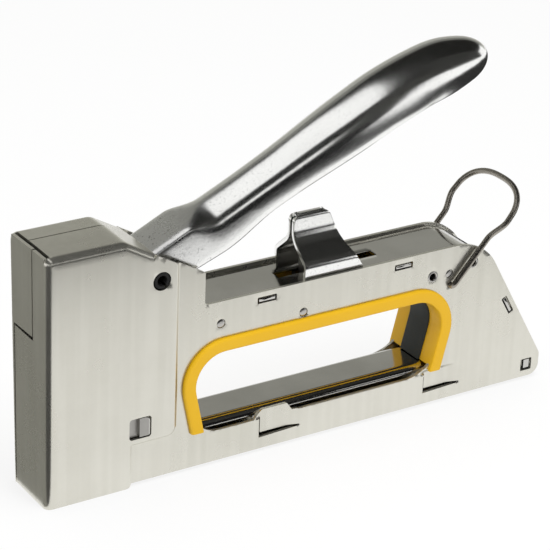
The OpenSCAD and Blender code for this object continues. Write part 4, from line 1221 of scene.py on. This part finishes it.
shell = Shell()
ends = 11.28
half_ring = [(1.3, 0), (1.3, ends - 0.5), (1.55, ends), (2.35, ends), (2.8, ends - 0.55), (2.8, 0)]
profile = [(r, y) for r, y in half_ring] + [(r, -y) for r, y in half_ring[::-1][1:]]
turned(shell, *PIVOT, profile, 48)
pin = shell.piece("pivot_pin_split", 0.002)
faced(pin)
slit_c, slit_s = 0.5, 0.866
slit = prism("slit", ((0.6, -0.35), (4, -0.35), (4, 0.35), (0.6, 0.35)), -14, 14, lambda ring: [
    (PIVOT[0] + x * slit_c + z * slit_s, y, PIVOT[1] - x * slit_s + z * slit_c) for x, y, z in ring])
modified(pin, "BOOLEAN", operation="DIFFERENCE", solver="EXACT", object=slit)
settle(pin, black_and_painted_shade, 40.0)
bpy.data.objects.remove(slit)
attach(pin, "body")
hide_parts("pivot_pin")


def sprout(tree, kind, values):
    """Adds a node to a growing tree; values are sockets or plain numbers by name or index."""
    node = tree.nodes.new(kind)
    for key, value in values.items():
        if isinstance(value, bpy.types.NodeSocket):
            tree.links.new(value, node.inputs[key])
        else:
            node.inputs[key].default_value = value
    return node.outputs[0]


def growth(name, inputs):
    """A new tree with named inputs and one geometry output; gives the tree and its inputs."""
    tree = bpy.data.node_groups.new(name, "GeometryNodeTree")
    tree.interface.new_socket("Geometry", in_out="OUTPUT", socket_type="NodeSocketGeometry")
    for label, kind in inputs.items():
        tree.interface.new_socket(label, in_out="INPUT", socket_type="NodeSocket" + kind)
    return tree, tree.nodes.new("NodeGroupInput").outputs


def ripen(tree, geometry, finish):
    """Ends a tree in Realize Instances and Set Material."""
    real = sprout(tree, "GeometryNodeRealizeInstances", {0: geometry})
    done = sprout(tree, "GeometryNodeSetMaterial", {0: real, "Material": finish})
    tree.links.new(done, tree.nodes.new("NodeGroupOutput").inputs[0])


def grown(name, tree, values, mesh=None):
    """An object whose plain mesh is what the tree makes from the values."""
    thing = bpy.data.objects.new(name, mesh or bpy.data.meshes.new(name))
    scene.collection.objects.link(thing)
    modifier = thing.modifiers.new("growth", "NODES")
    modifier.node_group = tree
    for socket in tree.interface.items_tree:
        if socket.in_out == "INPUT" and socket.name in values:
            modifier[socket.identifier] = values[socket.name]
    bpy.context.view_layer.update()
    shot = thing.evaluated_get(bpy.context.evaluated_depsgraph_get())
    thing.data = bpy.data.meshes.new_from_object(shot)
    thing.modifiers.clear()
    return thing


# one fastener set at every place, each turned by chance round its own axis
row, given = growth("fastener_row", {
    "Places": "Geometry", "Fastener": "Object", "Turn": "Float", "Seed": "Int", "Finish": "Material"})
chance = row.nodes.new("FunctionNodeRandomValue")
row.links.new(given["Turn"], chance.inputs["Max"])
row.links.new(given["Seed"], chance.inputs["Seed"])
spin = sprout(row, "ShaderNodeCombineXYZ", {"Y": chance.outputs[1]})
shape = row.nodes.new("GeometryNodeObjectInfo")
row.links.new(given["Fastener"], shape.inputs["Object"])
set_out = sprout(row, "GeometryNodeInstanceOnPoints", {
    "Points": given["Places"], "Instance": shape.outputs["Geometry"], "Rotation": spin})
ripen(row, set_out, given["Finish"])


def fasteners(name, profile, sides, places, node):
    """A row of turned fasteners across the body at (x, z) places."""
    shell = Shell()
    turned(shell, 0, 0, profile, sides)
    sample = shell.piece(name + "_sample", 0.002)
    sample.data.transform(Matrix.Translation((-nose_x / 1000, 0, 0)))
    faced(sample)
    spots = bpy.data.meshes.new(name)
    spots.from_pydata([((x + nose_x) / 1000, 0, z / 1000) for x, z in places], [], [])
    things = grown(name, row, {"Fastener": sample, "Turn": 6.28, "Seed": 4, "Finish": plain}, spots)
    bpy.data.objects.remove(sample)
    settle(things, plain, 50.0)
    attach(things, "body")
    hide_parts(node)


head = [(0, 9.85), (0.6, 9.83), (1.0, 9.77), (1.28, 9.66), (1.37, 9.52), (1.37, 0)]
fasteners(
    "rivet_row", [(r, -y) for r, y in head[:-1]] + [(r, y) for r, y in head[:-1][::-1]], 36,
    RIVETS, "body_rivets",
)
lip = [(1.05, 9.3), (1.09, 9.6), (1.25, 9.82), (1.5, 9.86), (1.74, 9.74), (1.79, 9.5)]
lip = [(r, -y) for r, y in lip] + [(r, y) for r, y in lip[::-1]]
fasteners("eyelet_pair", lip + lip[:1], 40, EYELETS, "body_eyelets")

# ------------------------------------------------------------------ springs
# The main spring drives the hammer down; a long light spring feeds the staples forward.

spring_steel = grained("spring_steel", 400.0, 4.0, ((0.20, 0.19, 0.17), (0.34, 0.33, 0.30)), (0.26, 0.2), 1.0)
# round wire wound into a coil along z, with both ends capped
coil, given = growth("coil_spring", {
    "Turns": "Float", "Radius": "Float", "Length": "Float", "Wire": "Float", "Steps": "Int",
    "Finish": "Material"})
helix = sprout(coil, "GeometryNodeCurveSpiral", {
    "Resolution": given["Steps"], "Rotations": given["Turns"], "Start Radius": given["Radius"],
    "End Radius": given["Radius"], "Height": given["Length"]})
section = sprout(coil, "GeometryNodeCurvePrimitiveCircle", {"Resolution": 16, "Radius": given["Wire"]})
wound = sprout(coil, "GeometryNodeCurveToMesh", {
    "Curve": helix, "Profile Curve": section, "Fill Caps": True})
ripen(coil, wound, given["Finish"])


def spring(name, node, body, turns, wire, lengthwise):
    """A coil that fills the box of its node."""
    low, high = (np.array(corner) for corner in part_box(node))
    size, along = high - low, 0 if lengthwise else 2
    radius = min(size[1], size[2 - along]) / 2 - wire
    thing = grown(name, coil, {
        "Turns": turns, "Radius": radius, "Length": float(size[along]) - 2.2 * wire, "Wire": wire,
        "Steps": 36, "Finish": spring_steel})
    foot = (low + high) / 2
    foot[along] = low[along] + 1.1 * wire
    turn = Matrix.Rotation(math.pi / 2, 4, "Y") if lengthwise else Matrix.Identity(4)
    thing.data.transform(Matrix.Translation(foot) @ turn)
    faced(thing)
    settle(thing, spring_steel, 50.0)
    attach(thing, body)
    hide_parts(node)
    seat = (low + high) / 2
    seat[along] = high[along]
    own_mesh(thing)
    return thing


spring("main_spring_coil", "main_spring", "body", 5.0, 0.0008, False)
spring("pusher_spring_coil", "pusher_spring", "magazine", 22.0, 0.0003, True)

# ------------------------------------------------------------------ inner parts
# The drive, the magazine and the frame's hidden parts keep their own shapes. Each has the
# finish of its own metal, rubber or plastic, but the nose guide is blackened as painted shade
# seen through the slot in the nose.


def worked_steel(shop):
    lines = shop.noise(1.0, 3.0, stretch=(2500.0, 2500.0, 120.0))
    cloud = shop.noise(90.0, 4.0)
    return {
        "Base Color": shop.mix(cloud, (0.36, 0.35, 0.33), (0.50, 0.49, 0.46)),
        "Metallic": 1.0,
        "Roughness": 0.30 + lines * 0.15,
        "Normal": shop.bump(0.2, 0.00003, lines),
    }


worked = surface("worked_steel", worked_steel)
rubber = grained("buffer_rubber", 700.0, 3.0, ((0.010, 0.010, 0.010), (0.026, 0.025, 0.024)), (0.75, 0.15))
plastic = grained("end_plastic", 1200.0, 2.0, ((0.022, 0.023, 0.024), (0.034, 0.035, 0.036)),
                  (0.42, 0.12), bump=(0.3, 0.00004))
finishes = {
    # the nose guide is blackened as painted shade, so the slot in the nose looks dark inside
    black_and_painted_shade: ("nose_guide",),
    worked: ("spring_cap", "buffer_seat", "lift_arms", "hammer", "driver_blade",
             "slider_key", "guide_rod"),
    plain: ("rivet_spacers", "lift_pin", "lift_roller", "pivot_bush", "handle_rivets", "blade_rivets",
            "magazine_rail", "staple_pusher"),
    rubber: ("rubber_buffer",),
    plastic: ("magazine_end",),
}
for material, names in finishes.items():
    for name in names:
        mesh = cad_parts[name].data
        mesh.materials.clear()
        mesh.materials.append(material)
